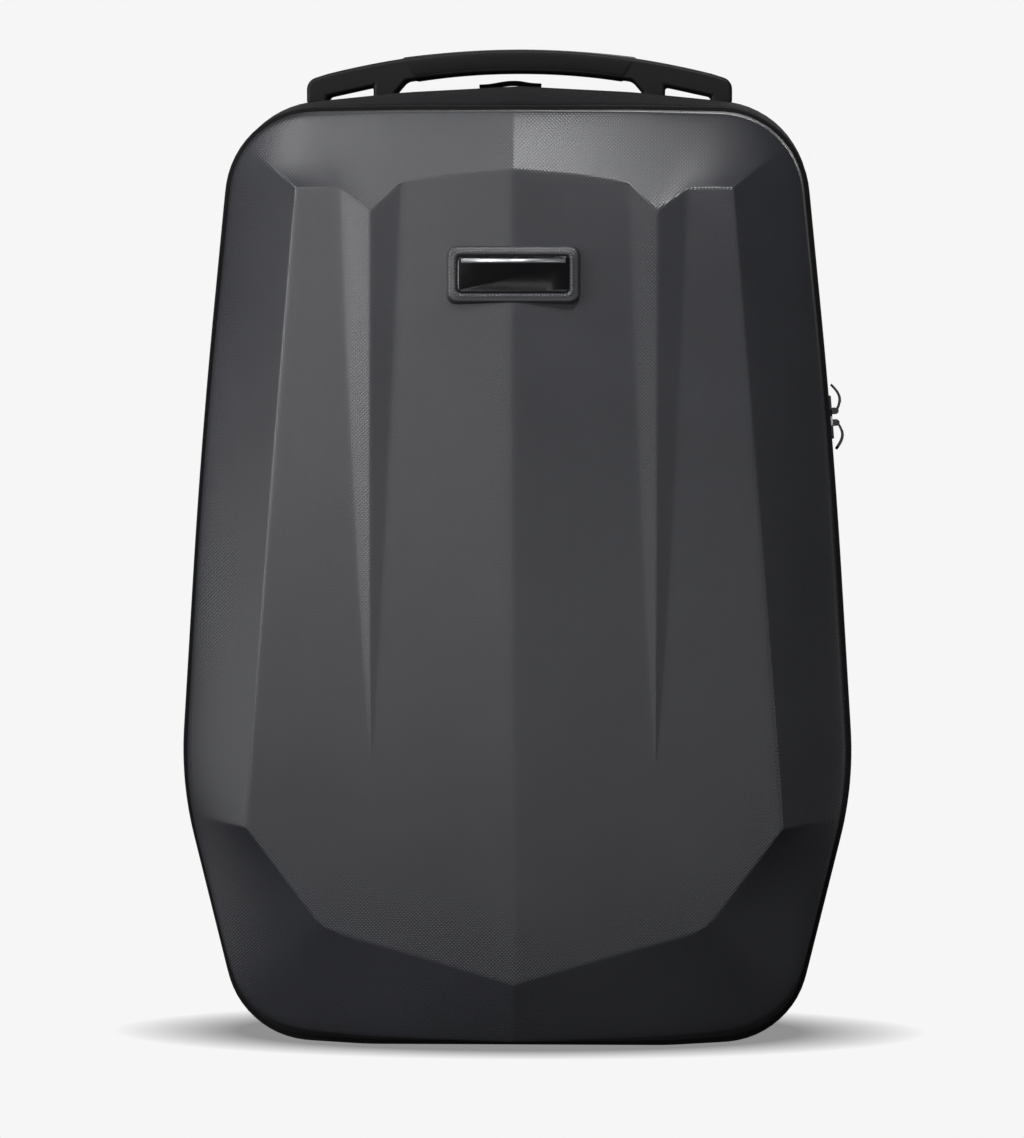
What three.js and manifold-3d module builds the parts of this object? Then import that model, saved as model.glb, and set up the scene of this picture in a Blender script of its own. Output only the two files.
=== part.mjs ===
// A hard shell backpack: a faceted moulded front shell, a zip round its rim, a soft gusset,
// a padded back with two shoulder straps, and a rigid carry handle on top.
// Millimetres. X runs to the viewer's right, the shell faces -Y, and Z is up from the ground.
import * as THREE from 'three';
import { mergeVertices } from 'three/addons/utils/BufferGeometryUtils.js';
import Module from 'manifold-3d';

const wasm = await Module();
wasm.setup();

// Whole bag. Its depth is measured from the keel of the shell to the face of the back.
const bagWidth = 320;
const bagDepth = 169.5;
const rimHeight = 449.5;
const topRise = 9.5;
const clearance = 0.3;
const mergeDistance = 1e-4;
const placeMatch = 1e-9;
const softEdge = 0.4;
// Share of a corner's rounding by which its middle point is cut back.
const cornerCut = 0.3;
const half = bagWidth / 2;

// Corners of the right half of the outline, from the ground up. x and round are shares of half the
// width, z is a share of the rim height, rise a share of the top rise; arc and line count the steps.
const outlineCorners = [
  { x: 0.45, z: 0, rise: 0, round: 1.2, arc: 2, line: 1 },
  { x: 0.822, z: 0.008, rise: 0, round: 0.27, arc: 5, line: 1 },
  { x: 1.0095, z: 0.282, rise: 0, round: 1.08, arc: 4, line: 2 },
  { x: 0.944, z: 0.645, rise: 0, round: 22, arc: 1, line: 1 },
  { x: 0.844, z: 0.997, rise: 0, round: 0.275, arc: 5, line: 2 },
  { x: 0.344, z: 1, rise: 0.7, round: 1.9, arc: 2, line: 1 },
];

// Front shell. Insets are measured inwards from the outline of the bag.
const shellDepth = 74;
const shellWall = 2.5;
const shellRimInset = 3;
// The side wall of the shell reaches forward from the rim to an edge that keeps behind the keel by a
// drop, and bends back from there by a slope and a radius towards the sides.
const wallDrop = 10;
const wallSlope = 0.13;
const wallRadius = 480;
const wallDraft = 1.5;
// Underneath, the wall also rises towards its front edge, and less so up to the given reach.
const footRise = 7.5;
const footReach = 60;
const frontRadius = 1500;
const frontPeak = 200;
const panelSlope = 0.14;
const spearHeight = 3.2;
const spearWidth = 27.7;
const spearTip = 0.75;
const spearTaper = 0.75;
const spearFootEnd = 1.2;
const skirtFullness = 0.12;

// Creases of the front panel that run from its top edge to its bottom edge. x is a share of half the
// width, z of the rim height, foot which side of the spear crest the crease follows, lift its height.
const panelCreases = [
  { topX: 0, topZ: 0.93, bottomX: 0, bottomZ: 0.089, foot: 0, lift: 0 },
  { topX: 0.2, topZ: 0.924, bottomX: 0.2, bottomZ: 0.109, foot: 0, lift: 0 },
  { topX: 0.415, topZ: 0.916, bottomX: 0.411, bottomZ: 0.129, foot: -1, lift: 0 },
  { topX: 0.415, topZ: 0.888, bottomX: 0.411, bottomZ: 0.1292, foot: 0, lift: 1 },
  { topX: 0.415, topZ: 0.91, bottomX: 0.411, bottomZ: 0.1294, foot: 1, lift: 0 },
  { topX: 0.566, topZ: 0.911, bottomX: 0.5575, bottomZ: 0.1433, foot: 0, lift: 0 },
  { topX: 0.6, topZ: 0.911, bottomX: 0.67, bottomZ: 0.196, foot: 0, lift: 0 },
  { topX: 0.634, topZ: 0.911, bottomX: 0.7825, bottomZ: 0.2487, foot: 0, lift: 0 },
];
const panelRows = [0, 0.1, 0.24, 0.4, 0.56, spearTip, 0.88, 1];
const skirtSteps = [0.35, 0.7, 0.92, 1];
// Where the creases from the corners of the panel reach the rim, as shares of the rim height.
const lowerAnchor = 0.253;
const upperAnchor = 0.954;

// Badge plate and the moulded frame round it
const badgeWidth = 51.5;
const badgeHeight = 17;
const badgeThickness = 2;
const badgeRound = 2;
const badgeDrop = 80;
const badgeCentre = rimHeight - badgeDrop;
const badgeRecess = 0.4;
const frameBorder = 5;
const frameProud = 1;
const frameRoot = 8;
const frameBevel = 1;

// Depths behind the rim plane of the shell
const bindingDepth = 4;
const tapeDepth = 20;
const gussetDepth = bagDepth - shellDepth - tapeDepth - 4 * bindingDepth - 5 * clearance;
const panelThickness = 12;
const bindingWall = 3.3;
const bindingInset = 0.8;
const tapeInset = 2.5;
const tapeWall = 1.5;
const chainWidth = 6;
const chainHeight = 1.3;
const gussetWall = 2;
const gussetCrown = 7;
const panelEdgeRound = 5;
// Outer face of the gusset from front to back: inset is a share of the binding's inset, from a share
// of the gusset's depth, crowns the crown lengths added to it, and rise a share of the top rise.
const gussetCourse = [
  { inset: 1, from: 0, crowns: 0, rise: 0.2 },
  { inset: 0, from: 0, crowns: 1, rise: 0.7 },
  { inset: 0, from: 0, crowns: 2.5, rise: 1 },
  { inset: 0, from: 1, crowns: -2.5, rise: 1 },
  { inset: 0, from: 1, crowns: -1, rise: 0.9 },
  { inset: 1, from: 1, crowns: 0, rise: 0.8 },
];
const backRise = gussetCourse.at(-1).rise * topRise;

// Carry handle
const handleSpan = 205;
const handleTop = 27.1;
const handleRadius = 370;
const handleThickness = 11;
const handleDepth = 24;
const handleEndRound = 5;
const outerFoot = 10;
const innerFoot = 10.8;
const slotLength = 22.2;
const footFlare = 5;
const footRoot = 12;
const handleBevel = 1.5;
const archSteps = 7;
const gripLength = 107;
const gripWall = 2;

// Hang loop behind the handle. loopBell is the share of its length that lifts off the bag.
const loopLength = 30;
const loopRise = 3.4;
const loopBand = 12;
const loopThickness = 2.4;
const loopSide = -5;
const loopSetback = 4;
const loopBell = 0.8;
const loopSteps = 10;

// Zip sliders and pull tabs on the right side
const sliderHeight = 301;
const sliderLength = 10;
const sliderNose = 6;
const sliderShoulder = 3.5;
const sliderPlate = 1.6;
const sliderWall = 1.2;
const sliderGap = 0.4;
const pinRadius = 0.6;
const pinReach = 2.6;
const pinSides = 8;
const eyeSides = 12;
const eyeWall = 0.6;
const eyeWidth = 3;
const cheekWall = 1;
const tabWidth = 6.5;
const tabLength = 12.6;
const tabThickness = 1.1;
// The tab bows through most of half a turn, and leans back by a little over its length.
const tabBow = 3.1;
const tabBowStart = 0.12;
const tabBowTurn = 0.94 * Math.PI;
const tabLean = 1.4;
const tabSteps = 7;
const tabTip = 0.7;
const neckStart = 0.06;
const neckEnd = 0.3;

// Shoulder straps
const padWidth = 62;
const padThickness = 11;
const padSetback = 21.5;
const padTop = rimHeight - padSetback;
const padDrop = 236;
const padArch = 24;
const padSideTop = 46;
const padSideBottom = 92;
// Course of a pad: down is a share of its drop, off of its arch, side of its spread, and wide and
// thick are shares of its width and thickness.
const padCourse = [
  { down: 0, off: 0, side: 0, wide: 0.9, thick: 0.7 },
  { down: 0.06, off: 0.06, side: 0.01, wide: 1, thick: 1 },
  { down: 0.2, off: 0.6, side: 0.06, wide: 1, thick: 1 },
  { down: 0.36, off: 0.95, side: 0.2, wide: 1, thick: 1 },
  { down: 0.52, off: 1, side: 0.42, wide: 1, thick: 1 },
  { down: 0.68, off: 0.88, side: 0.65, wide: 0.98, thick: 1 },
  { down: 0.84, off: 0.68, side: 0.86, wide: 0.88, thick: 1 },
  { down: 0.95, off: 0.52, side: 0.97, wide: 0.68, thick: 0.95 },
  { down: 1, off: 0.44, side: 1, wide: 0.45, thick: 0.6 },
];
// Corners of a padded section, as shares of its width and thickness.
const padSection = [
  { across: -0.5, out: -0.2 },
  { across: -0.4, out: -0.5 },
  { across: 0.4, out: -0.5 },
  { across: 0.5, out: -0.2 },
  { across: 0.5, out: 0.2 },
  { across: 0.4, out: 0.5 },
  { across: -0.4, out: 0.5 },
  { across: -0.5, out: 0.2 },
];
const flatSection = [
  { across: -0.5, out: -0.5 },
  { across: 0.5, out: -0.5 },
  { across: 0.5, out: 0.5 },
  { across: -0.5, out: 0.5 },
];
const webWidth = 22;
const webThickness = 1.6;
const tailLength = 95;
const tailSpread = 4;
const tailBend = 0.6;
const buckleBar = 4;
const buckleSlot = 7;
const buckleRail = 4;
const buckleThickness = 4;
const buckleBevel = 0.5;
const tongueWall = 1.3;
const tongueDepth = 12;
const anchorInset = 48;
const anchorSide = half - anchorInset;
const anchorHeight = 42;
const anchorLap = 14;
const tabPlateSize = 34;
const tabPlateThickness = 2.4;
// Where the cut corners of the anchor tab start, as shares of its reach.
const tabShoulder = 0.4;
const tabHead = 0.75;

// Surfaces: colour, roughness and metalness
const shellFinish = { color: 0x4a4b4f, roughness: 0.42, metalness: 0.05 };
const plateFinish = { color: 0x0b0b0c, roughness: 0.12, metalness: 0.1 };
const fabricFinish = { color: 0x141416, roughness: 0.9, metalness: 0 };
const paddingFinish = { color: 0x1b1b1d, roughness: 0.95, metalness: 0 };
const handleFinish = { color: 0x121213, roughness: 0.55, metalness: 0 };
const metalFinish = { color: 0x1a1a1c, roughness: 0.35, metalness: 0.7 };

// Depth of each layer, from the rim plane backwards
const bindingFront = clearance;
const tapeFront = bindingFront + bindingDepth + clearance;
const chainMiddle = tapeFront + tapeDepth / 2;
const pipingFront = tapeFront + tapeDepth + clearance;
const gussetFront = pipingFront + bindingDepth + clearance;
const gussetBack = gussetFront + gussetDepth;
const backBindingFront = gussetBack + clearance;
const backFace = backBindingFront + bindingDepth + bindingDepth;
const handleMiddle = (gussetFront + gussetBack) / 2;

function point(x, y, z) {
  return new THREE.Vector3(x, y, z);
}

// Right half of the outline from the bottom centre to the top centre, with rounded corners.
function halfOutline(rise) {
  const corners = outlineCorners.map((row) => ({
    at: new THREE.Vector2(row.x * half, row.z * rimHeight + row.rise * rise),
    radius: row.round * half,
    arc: row.arc,
    line: row.line,
  }));
  const top = new THREE.Vector2(0, rimHeight + rise);
  const points = [new THREE.Vector2(0, 0)];
  corners.forEach((corner, index) => {
    const before = index ? corners[index - 1].at : points[0];
    const after = index + 1 < corners.length ? corners[index + 1].at : top;
    const inward = before.clone().sub(corner.at).normalize();
    const onward = after.clone().sub(corner.at).normalize();
    const bend = Math.PI - Math.acos(THREE.MathUtils.clamp(inward.dot(onward), -1, 1));
    const reach = corner.radius * Math.tan(bend / 2);
    const start = corner.at.clone().addScaledVector(inward, reach);
    const end = corner.at.clone().addScaledVector(onward, reach);
    const from = points.at(-1).clone();
    for (let step = 1; step < corner.line; step += 1) {
      points.push(from.clone().lerp(start, step / corner.line));
    }
    const middle = inward.clone().add(onward).normalize();
    const centre = corner.at.clone().addScaledVector(middle, corner.radius / Math.cos(bend / 2));
    const first = Math.atan2(start.y - centre.y, start.x - centre.x);
    for (let step = 0; step <= corner.arc; step += 1) {
      const angle = first + (bend * step) / corner.arc;
      const turned = new THREE.Vector2(Math.cos(angle), Math.sin(angle));
      points.push(centre.clone().addScaledVector(turned, corner.radius));
    }
    if (index + 1 === corners.length) {
      points.push(end.clone().lerp(top, 0.5), top);
    }
  });
  return points;
}

// The whole closed outline, moved outwards by a distance and set at one depth.
function outlineLoop(out, depth, rise) {
  const right = halfOutline(rise);
  const left = right.slice(1, -1).reverse().map((at) => new THREE.Vector2(-at.x, at.y));
  const flat = [...right, ...left];
  return flat.map((at, index) => {
    const before = flat[(index + flat.length - 1) % flat.length];
    const after = flat[(index + 1) % flat.length];
    const along = after.clone().sub(before).normalize();
    return point(at.x + along.y * out, depth, at.y - along.x * out);
  });
}

function signedVolume(triangles) {
  let total = 0;
  for (let index = 0; index < triangles.length; index += 3) {
    const [a, b, c] = triangles.slice(index, index + 3);
    total += a.dot(b.clone().cross(c)) / 6;
  }
  return total;
}

// One closed body from loose triangles, turned so that its faces point out.
function closedBody(triangles) {
  const facing = signedVolume(triangles) < 0 ? [...triangles].reverse() : triangles;
  const geometry = new THREE.BufferGeometry().setFromPoints(facing);
  return mergeVertices(geometry, mergeDistance);
}

function fan(loop) {
  const centre = loop.reduce((sum, at) => sum.add(at), point(0, 0, 0)).divideScalar(loop.length);
  return loop.flatMap((at, index) => [centre, at, loop[(index + 1) % loop.length]]);
}

function stripBetween(first, second) {
  return first.flatMap((at, index) => {
    const next = (index + 1) % first.length;
    return [at, first[next], second[next], at, second[next], second[index]];
  });
}

// Joins closed loops into one surface. A wrapped skin joins its last loop to its first, and any
// other skin is closed by a fan at each end.
function skin(loops, wrapped) {
  const triangles = [];
  loops.forEach((loop, index) => {
    const next = loops[(index + 1) % loops.length];
    if (wrapped || index + 1 < loops.length) {
      triangles.push(...stripBetween(loop, next));
    }
  });
  if (!wrapped) {
    triangles.push(...fan(loops[0]).reverse(), ...fan(loops.at(-1)));
  }
  return closedBody(triangles);
}

// A hoop round the bag: each row of its section gives out, depth and rise.
function hoop(section) {
  return skin(section.map((row) => outlineLoop(row.out, row.depth, row.rise)), true);
}

// A band swept along a path. Each stop has a place, a width and a thickness.
function sweep(stops, across, section) {
  const loops = stops.map((stop, index) => {
    const before = stops[Math.max(index - 1, 0)].at;
    const after = stops[Math.min(index + 1, stops.length - 1)].at;
    const along = after.clone().sub(before).normalize();
    const side = across.clone().addScaledVector(along, -across.dot(along)).normalize();
    const out = along.clone().cross(side);
    return section.map((corner) => stop.at.clone()
      .addScaledVector(side, corner.across * stop.width)
      .addScaledVector(out, corner.out * stop.thickness));
  });
  return skin(loops, false);
}

function toSolid(geometry) {
  const bare = new THREE.BufferGeometry();
  bare.setAttribute('position', geometry.getAttribute('position'));
  bare.setIndex(geometry.getIndex());
  const merged = mergeVertices(bare, mergeDistance);
  return new wasm.Manifold(new wasm.Mesh({
    numProp: 3,
    vertProperties: new Float32Array(merged.getAttribute('position').array),
    triVerts: new Uint32Array(merged.getIndex().array),
  }));
}

function toGeometry(solid) {
  const cut = solid.getMesh();
  const geometry = new THREE.BufferGeometry();
  geometry.setAttribute('position', new THREE.BufferAttribute(cut.vertProperties, 3));
  geometry.setIndex(new THREE.BufferAttribute(cut.triVerts, 1));
  return geometry;
}

function block(low, high) {
  const size = high.clone().sub(low);
  const geometry = new THREE.BoxGeometry(size.x, size.y, size.z);
  const middle = low.clone().add(high).divideScalar(2);
  return toSolid(geometry.translate(middle.x, middle.y, middle.z));
}

// A flat shape drawn in X and Z, given a depth along Y round the given middle.
function slab(shape, depth, middle, bevel) {
  const geometry = new THREE.ExtrudeGeometry(shape, {
    depth: depth - 2 * bevel,
    bevelEnabled: bevel > 0,
    bevelThickness: bevel,
    bevelSize: bevel,
    bevelOffset: -bevel,
    bevelSegments: 1,
    curveSegments: 3,
  });
  geometry.rotateX(Math.PI / 2);
  return geometry.translate(0, middle + depth / 2 - bevel, 0);
}

function roundedShape(width, height, radius) {
  const shape = new THREE.Shape();
  const x = width / 2;
  const y = height / 2;
  shape.moveTo(-x + radius, -y);
  shape.lineTo(x - radius, -y);
  shape.absarc(x - radius, -y + radius, radius, -Math.PI / 2, 0);
  shape.lineTo(x, y - radius);
  shape.absarc(x - radius, y - radius, radius, 0, Math.PI / 2);
  shape.lineTo(-x + radius, y);
  shape.absarc(-x + radius, y - radius, radius, Math.PI / 2, Math.PI);
  shape.lineTo(-x, -y + radius);
  shape.absarc(-x + radius, -y + radius, radius, Math.PI, 1.5 * Math.PI);
  return shape;
}

function keelDepth(z) {
  return shellDepth - (z - frontPeak) ** 2 / (2 * frontRadius);
}

// One corner of the faceted front panel, on a crease, at a share of the way down it.
function panelPoint(crease, down) {
  const taper = down < spearTip ? (1 - down / spearTip) ** spearTaper : 0;
  const spread = Math.max((spearWidth / 2) * taper, spearFootEnd);
  const x = half * THREE.MathUtils.lerp(crease.topX, crease.bottomX, down) + crease.foot * spread;
  const z = rimHeight * THREE.MathUtils.lerp(crease.topZ, crease.bottomZ, down);
  return point(x, -(keelDepth(z) - panelSlope * x + crease.lift * spearHeight * taper), z);
}

// Splits a run of points into places by their share of its length, counted on from a start value.
function placesAlong(points, start) {
  const lengths = [0];
  points.slice(1).forEach((at, index) => lengths.push(lengths.at(-1) + at.distanceTo(points[index])));
  return points.map((at, index) => ({ at, place: start + lengths[index] / lengths.at(-1) }));
}

function placedAt(places, wanted) {
  const after = Math.max(1, places.findIndex((entry) => entry.place >= wanted - placeMatch));
  const before = places[after - 1];
  const next = places[after];
  const share = (wanted - before.place) / (next.place - before.place);
  return before.at.clone().lerp(next.at, THREE.MathUtils.clamp(share, 0, 1));
}

// Edge of the right half of the panel: places 0 to 1 along its foot, 1 to 2 up the side ridge, and
// 2 to 3 along its top.
function panelEdge() {
  const ridge = panelCreases.at(-1);
  const foot = placesAlong(panelCreases.map((crease) => panelPoint(crease, 1)), 0);
  const side = placesAlong([...panelRows].reverse().map((down) => panelPoint(ridge, down)), 1);
  const top = placesAlong([...panelCreases].reverse().map((crease) => panelPoint(crease, 0)), 2);
  return [...foot, ...side.slice(1), ...top.slice(1)];
}

// The rim of the right half, with the same places as the panel's edge, at a share of the way from
// the rim plane to the front edge of the side wall.
function rimEdge(inset, share) {
  const loop = outlineLoop(-inset, 0, 0);
  const rim = loop.slice(0, halfOutline(0).length);
  rim.forEach((at) => {
    const bend = wallSlope * at.x + (at.x * at.x) / (2 * wallRadius);
    at.setY(-share * (keelDepth(at.z) - wallDrop - bend));
    at.setZ(at.z + share * footRise * Math.max(0, 1 - at.z / footReach) ** 2);
  });
  const lower = rim.findIndex((at) => at.z > lowerAnchor * rimHeight);
  const upper = rim.findIndex((at) => at.z > upperAnchor * rimHeight);
  const foot = placesAlong(rim.slice(0, lower + 1), 0);
  const side = placesAlong(rim.slice(lower, upper + 1), 1);
  const top = placesAlong(rim.slice(upper), 2);
  return [...foot, ...side.slice(1), ...top.slice(1)];
}

// Fills the strip between two edges that run side by side but have other numbers of points.
function stripByPlace(first, second) {
  const triangles = [];
  let a = 0;
  let b = 0;
  while (a + 1 < first.length || b + 1 < second.length) {
    const nextA = a + 1 < first.length ? first[a + 1].place : Infinity;
    const nextB = b + 1 < second.length ? second[b + 1].place : Infinity;
    if (nextA <= nextB) {
      triangles.push(first[a].at, second[b].at, first[a + 1].at);
      a += 1;
    } else {
      triangles.push(first[a].at, second[b].at, second[b + 1].at);
      b += 1;
    }
  }
  return triangles;
}

// Outer surface of the right half of the shell, from the keel to the rim plane.
function shellSurface() {
  const triangles = [];
  panelRows.slice(1).forEach((down, index) => {
    const above = panelRows[index];
    panelCreases.slice(1).forEach((crease, column) => {
      const inner = panelCreases[column];
      const a = panelPoint(inner, above);
      const b = panelPoint(crease, above);
      const c = panelPoint(crease, down);
      const d = panelPoint(inner, down);
      triangles.push(a, c, b, a, d, c);
    });
  });
  const edge = panelEdge();
  const wallFront = rimEdge(shellRimInset + wallDraft, 1);
  const rings = skirtSteps.map((step) => wallFront.map((entry) => {
    const from = placedAt(edge, entry.place);
    const full = (1 - skirtFullness) * (1 - step) + skirtFullness * Math.sqrt(1 - step * step);
    const at = from.clone().lerp(entry.at, step);
    at.y = entry.at.y + (from.y - entry.at.y) * full;
    return { at, place: entry.place };
  }));
  rings.push(rimEdge(shellRimInset, 0));
  triangles.push(...stripByPlace(edge, rings[0]));
  rings.slice(1).forEach((ring, index) => triangles.push(...stripByPlace(rings[index], ring)));
  return triangles;
}

// Gives an open surface a wall, closed by a strip along its free edge in the rim plane.
function walled(triangles, wall) {
  const surface = mergeVertices(new THREE.BufferGeometry().setFromPoints(triangles), mergeDistance);
  surface.computeVertexNormals();
  const places = surface.getAttribute('position');
  const normals = surface.getAttribute('normal');
  const outer = [];
  const inner = [];
  for (let index = 0; index < places.count; index += 1) {
    const at = new THREE.Vector3().fromBufferAttribute(places, index);
    const normal = new THREE.Vector3().fromBufferAttribute(normals, index);
    if (Math.abs(at.y) < mergeDistance) {
      normal.setY(0).normalize();
    }
    outer.push(at);
    inner.push(at.clone().addScaledVector(normal, -wall));
  }
  const order = [...surface.getIndex().array];
  const edges = new Map();
  const body = [];
  for (let index = 0; index < order.length; index += 3) {
    const corners = order.slice(index, index + 3);
    body.push(...corners.map((corner) => outer[corner]));
    body.push(...corners.map((corner) => inner[corner]).reverse());
    corners.forEach((from, turn) => {
      const to = corners[(turn + 1) % 3];
      if (!edges.delete(`${to} ${from}`)) {
        edges.set(`${from} ${to}`, [from, to]);
      }
    });
  }
  edges.forEach(([from, to]) => {
    body.push(outer[to], outer[from], inner[from], outer[to], inner[from], inner[to]);
  });
  return closedBody(body);
}

function mirroredTriangles(triangles) {
  const mirrored = [];
  for (let index = 0; index < triangles.length; index += 3) {
    const [a, b, c] = triangles.slice(index, index + 3);
    mirrored.push(...[c, b, a].map((at) => point(-at.x, at.y, at.z)));
  }
  return mirrored;
}

// The badge lies on the keel line and leans back with it.
const badgeLean = Math.atan((badgeCentre - frontPeak) / frontRadius);

function onBadge(geometry) {
  return geometry.rotateX(-badgeLean).translate(0, -keelDepth(badgeCentre), badgeCentre);
}

function frontShell() {
  const right = shellSurface();
  const shell = toSolid(walled([...right, ...mirroredTriangles(right)], shellWall));
  const frameShape = roundedShape(
    badgeWidth + 2 * frameBorder,
    badgeHeight + 2 * frameBorder,
    badgeRound + frameBorder / 2,
  );
  const frameDepth = frameProud + frameRoot;
  const frame = slab(frameShape, frameDepth, frameRoot - frameDepth / 2, frameBevel);
  const seatDepth = badgeThickness + badgeRecess + clearance;
  const seatShape = roundedShape(
    badgeWidth + 2 * clearance,
    badgeHeight + 2 * clearance,
    badgeRound + clearance,
  );
  const seat = slab(seatShape, 2 * seatDepth, -frameProud, 0);
  return toGeometry(shell.add(toSolid(onBadge(frame))).subtract(toSolid(onBadge(seat))));
}

function badgePlate() {
  const shape = roundedShape(badgeWidth, badgeHeight, badgeRound);
  const middle = -frameProud + badgeRecess + badgeThickness / 2;
  return onBadge(slab(shape, badgeThickness, middle, softEdge));
}

// Bound edge: a flat inner side and a rounded outer side.
function binding(front, rise) {
  const back = front + bindingDepth;
  const shoulder = bindingDepth / 4;
  return hoop([
    { out: -bindingInset - bindingWall, depth: front, rise },
    { out: -bindingInset - shoulder, depth: front, rise },
    { out: -bindingInset, depth: front + shoulder, rise },
    { out: -bindingInset, depth: back - shoulder, rise },
    { out: -bindingInset - shoulder, depth: back, rise },
    { out: -bindingInset - bindingWall, depth: back, rise },
  ]);
}

function zipTape() {
  const back = tapeFront + tapeDepth;
  return hoop([
    { out: -tapeInset - tapeWall, depth: tapeFront, rise: 0 },
    { out: -tapeInset, depth: tapeFront, rise: 0 },
    { out: -tapeInset, depth: back, rise: 0 },
    { out: -tapeInset - tapeWall, depth: back, rise: 0 },
  ]);
}

function zipChain() {
  const low = -tapeInset + clearance;
  const front = chainMiddle - chainWidth / 2;
  const back = chainMiddle + chainWidth / 2;
  return hoop([
    { out: low, depth: front, rise: 0 },
    { out: low + chainHeight, depth: front, rise: 0 },
    { out: low + chainHeight, depth: back, rise: 0 },
    { out: low, depth: back, rise: 0 },
  ]);
}

// Soft side wall: it swells from its bound edges to the full outline, which is flat underneath.
function gussetOuter(extra) {
  return gussetCourse.map((row) => ({
    out: extra - row.inset * bindingInset,
    depth: gussetFront + row.from * gussetDepth + row.crowns * gussetCrown,
    rise: row.rise * topRise,
  }));
}

function gusset() {
  const outer = gussetOuter(0);
  const inner = outer.map((row) => ({ ...row, out: row.out - gussetWall })).reverse();
  return hoop([...outer, ...inner]);
}

// The space that the gusset fills, with a clearance round it, which cuts what is seated on it.
function gussetSpace() {
  const loops = gussetOuter(clearance).map((row) => outlineLoop(row.out, row.depth, row.rise));
  return toSolid(skin(loops, false));
}

function backPanel() {
  const inset = bindingInset + bindingWall + clearance;
  const cut = cornerCut * panelEdgeRound;
  const rows = [
    { out: -inset - panelEdgeRound, depth: backFace - panelThickness },
    { out: -inset, depth: backFace - panelThickness + panelEdgeRound / 2 },
    { out: -inset, depth: backFace - panelEdgeRound },
    { out: -inset - cut, depth: backFace - cut },
    { out: -inset - panelEdgeRound, depth: backFace },
  ];
  return skin(rows.map((row) => outlineLoop(row.out, row.depth, backRise)), false);
}

function handleArch(x) {
  return rimHeight + handleTop - (x * x) / (2 * handleRadius);
}

// Side view of the handle: an arch on an outer and an inner foot at each end. inset makes the
// arch thinner all round.
function handleShape(inset) {
  const end = handleSpan / 2;
  const bottom = rimHeight - footRoot;
  const outerIn = end - outerFoot;
  const innerOut = outerIn - slotLength;
  const innerIn = innerOut - innerFoot;
  const flareEnd = innerIn - footFlare;
  const under = (x) => handleArch(x) - handleThickness;
  const cut = cornerCut * handleEndRound;
  const right = [];
  right.push([end, bottom], [end, handleArch(end) - handleEndRound]);
  right.push([end - cut, handleArch(end) - cut]);
  for (let step = 0; step < archSteps; step += 1) {
    const x = (end - handleEndRound) * (1 - step / archSteps);
    right.push([x, handleArch(x) - inset]);
  }
  const lower = [];
  for (let step = 1; step <= archSteps; step += 1) {
    const x = flareEnd * (step / archSteps);
    lower.push([x, under(x) + inset]);
  }
  lower.push([innerIn, under(innerIn) - footFlare + inset], [innerIn, bottom], [innerOut, bottom]);
  lower.push([innerOut, under(innerOut) + inset], [outerIn, under(outerIn) + inset]);
  lower.push([outerIn, bottom]);
  const mirror = (list) => list.map(([x, z]) => [-x, z]).reverse();
  const loop = [
    ...right,
    [0, handleArch(0) - inset],
    ...mirror(right),
    ...mirror(lower),
    [0, under(0) + inset],
    ...lower,
  ];
  return new THREE.Shape(loop.map(([x, z]) => new THREE.Vector2(x, z)));
}

function gripRegion(margin) {
  const reach = gripLength / 2 + margin;
  return block(
    point(-reach, handleMiddle - handleDepth, rimHeight),
    point(reach, handleMiddle + handleDepth, rimHeight + 2 * handleTop),
  );
}

// The sleeve round the middle of the arch, with the given margin taken off its inside and ends.
function gripSleeve(margin) {
  const bar = toSolid(slab(handleShape(0), handleDepth, handleMiddle, handleBevel));
  const inset = gripWall + margin;
  const core = slab(handleShape(inset), handleDepth - 2 * inset, handleMiddle, 0);
  return bar.intersect(gripRegion(margin)).subtract(toSolid(core));
}

function carryHandle() {
  const bar = toSolid(slab(handleShape(0), handleDepth, handleMiddle, handleBevel));
  return toGeometry(bar.subtract(gripSleeve(clearance)).subtract(gussetSpace()));
}

// Height of the top of the gusset at a distance from the middle.
function topHeight(x) {
  const top = halfOutline(topRise);
  const before = top.findLastIndex((at) => at.x > Math.abs(x));
  const outer = top[before];
  const inner = top[before + 1];
  return THREE.MathUtils.mapLinear(Math.abs(x), outer.x, inner.x, outer.y, inner.y);
}

// A low bell of webbing, sewn down at both ends on top of the bag.
function hangLoop() {
  const stops = [];
  for (let step = 0; step <= loopSteps; step += 1) {
    const share = (2 * step) / loopSteps - 1;
    const turn = Math.min(Math.abs(share) / loopBell, 1) * (Math.PI / 2);
    const lift = Math.cos(turn) ** 2;
    const x = loopSide + (share * loopLength) / 2;
    const base = topHeight(x) + clearance + loopThickness / 2;
    const z = base + lift * (loopRise - loopThickness);
    const at = point(x, gussetBack - loopSetback - loopBand / 2, z);
    stops.push({ at, width: loopBand, thickness: loopThickness });
  }
  return toGeometry(toSolid(sweep(stops, point(0, 1, 0), flatSection)).subtract(gussetSpace()));
}

function disc(radius, sides, width) {
  return new THREE.CylinderGeometry(radius, radius, width, sides);
}

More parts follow.
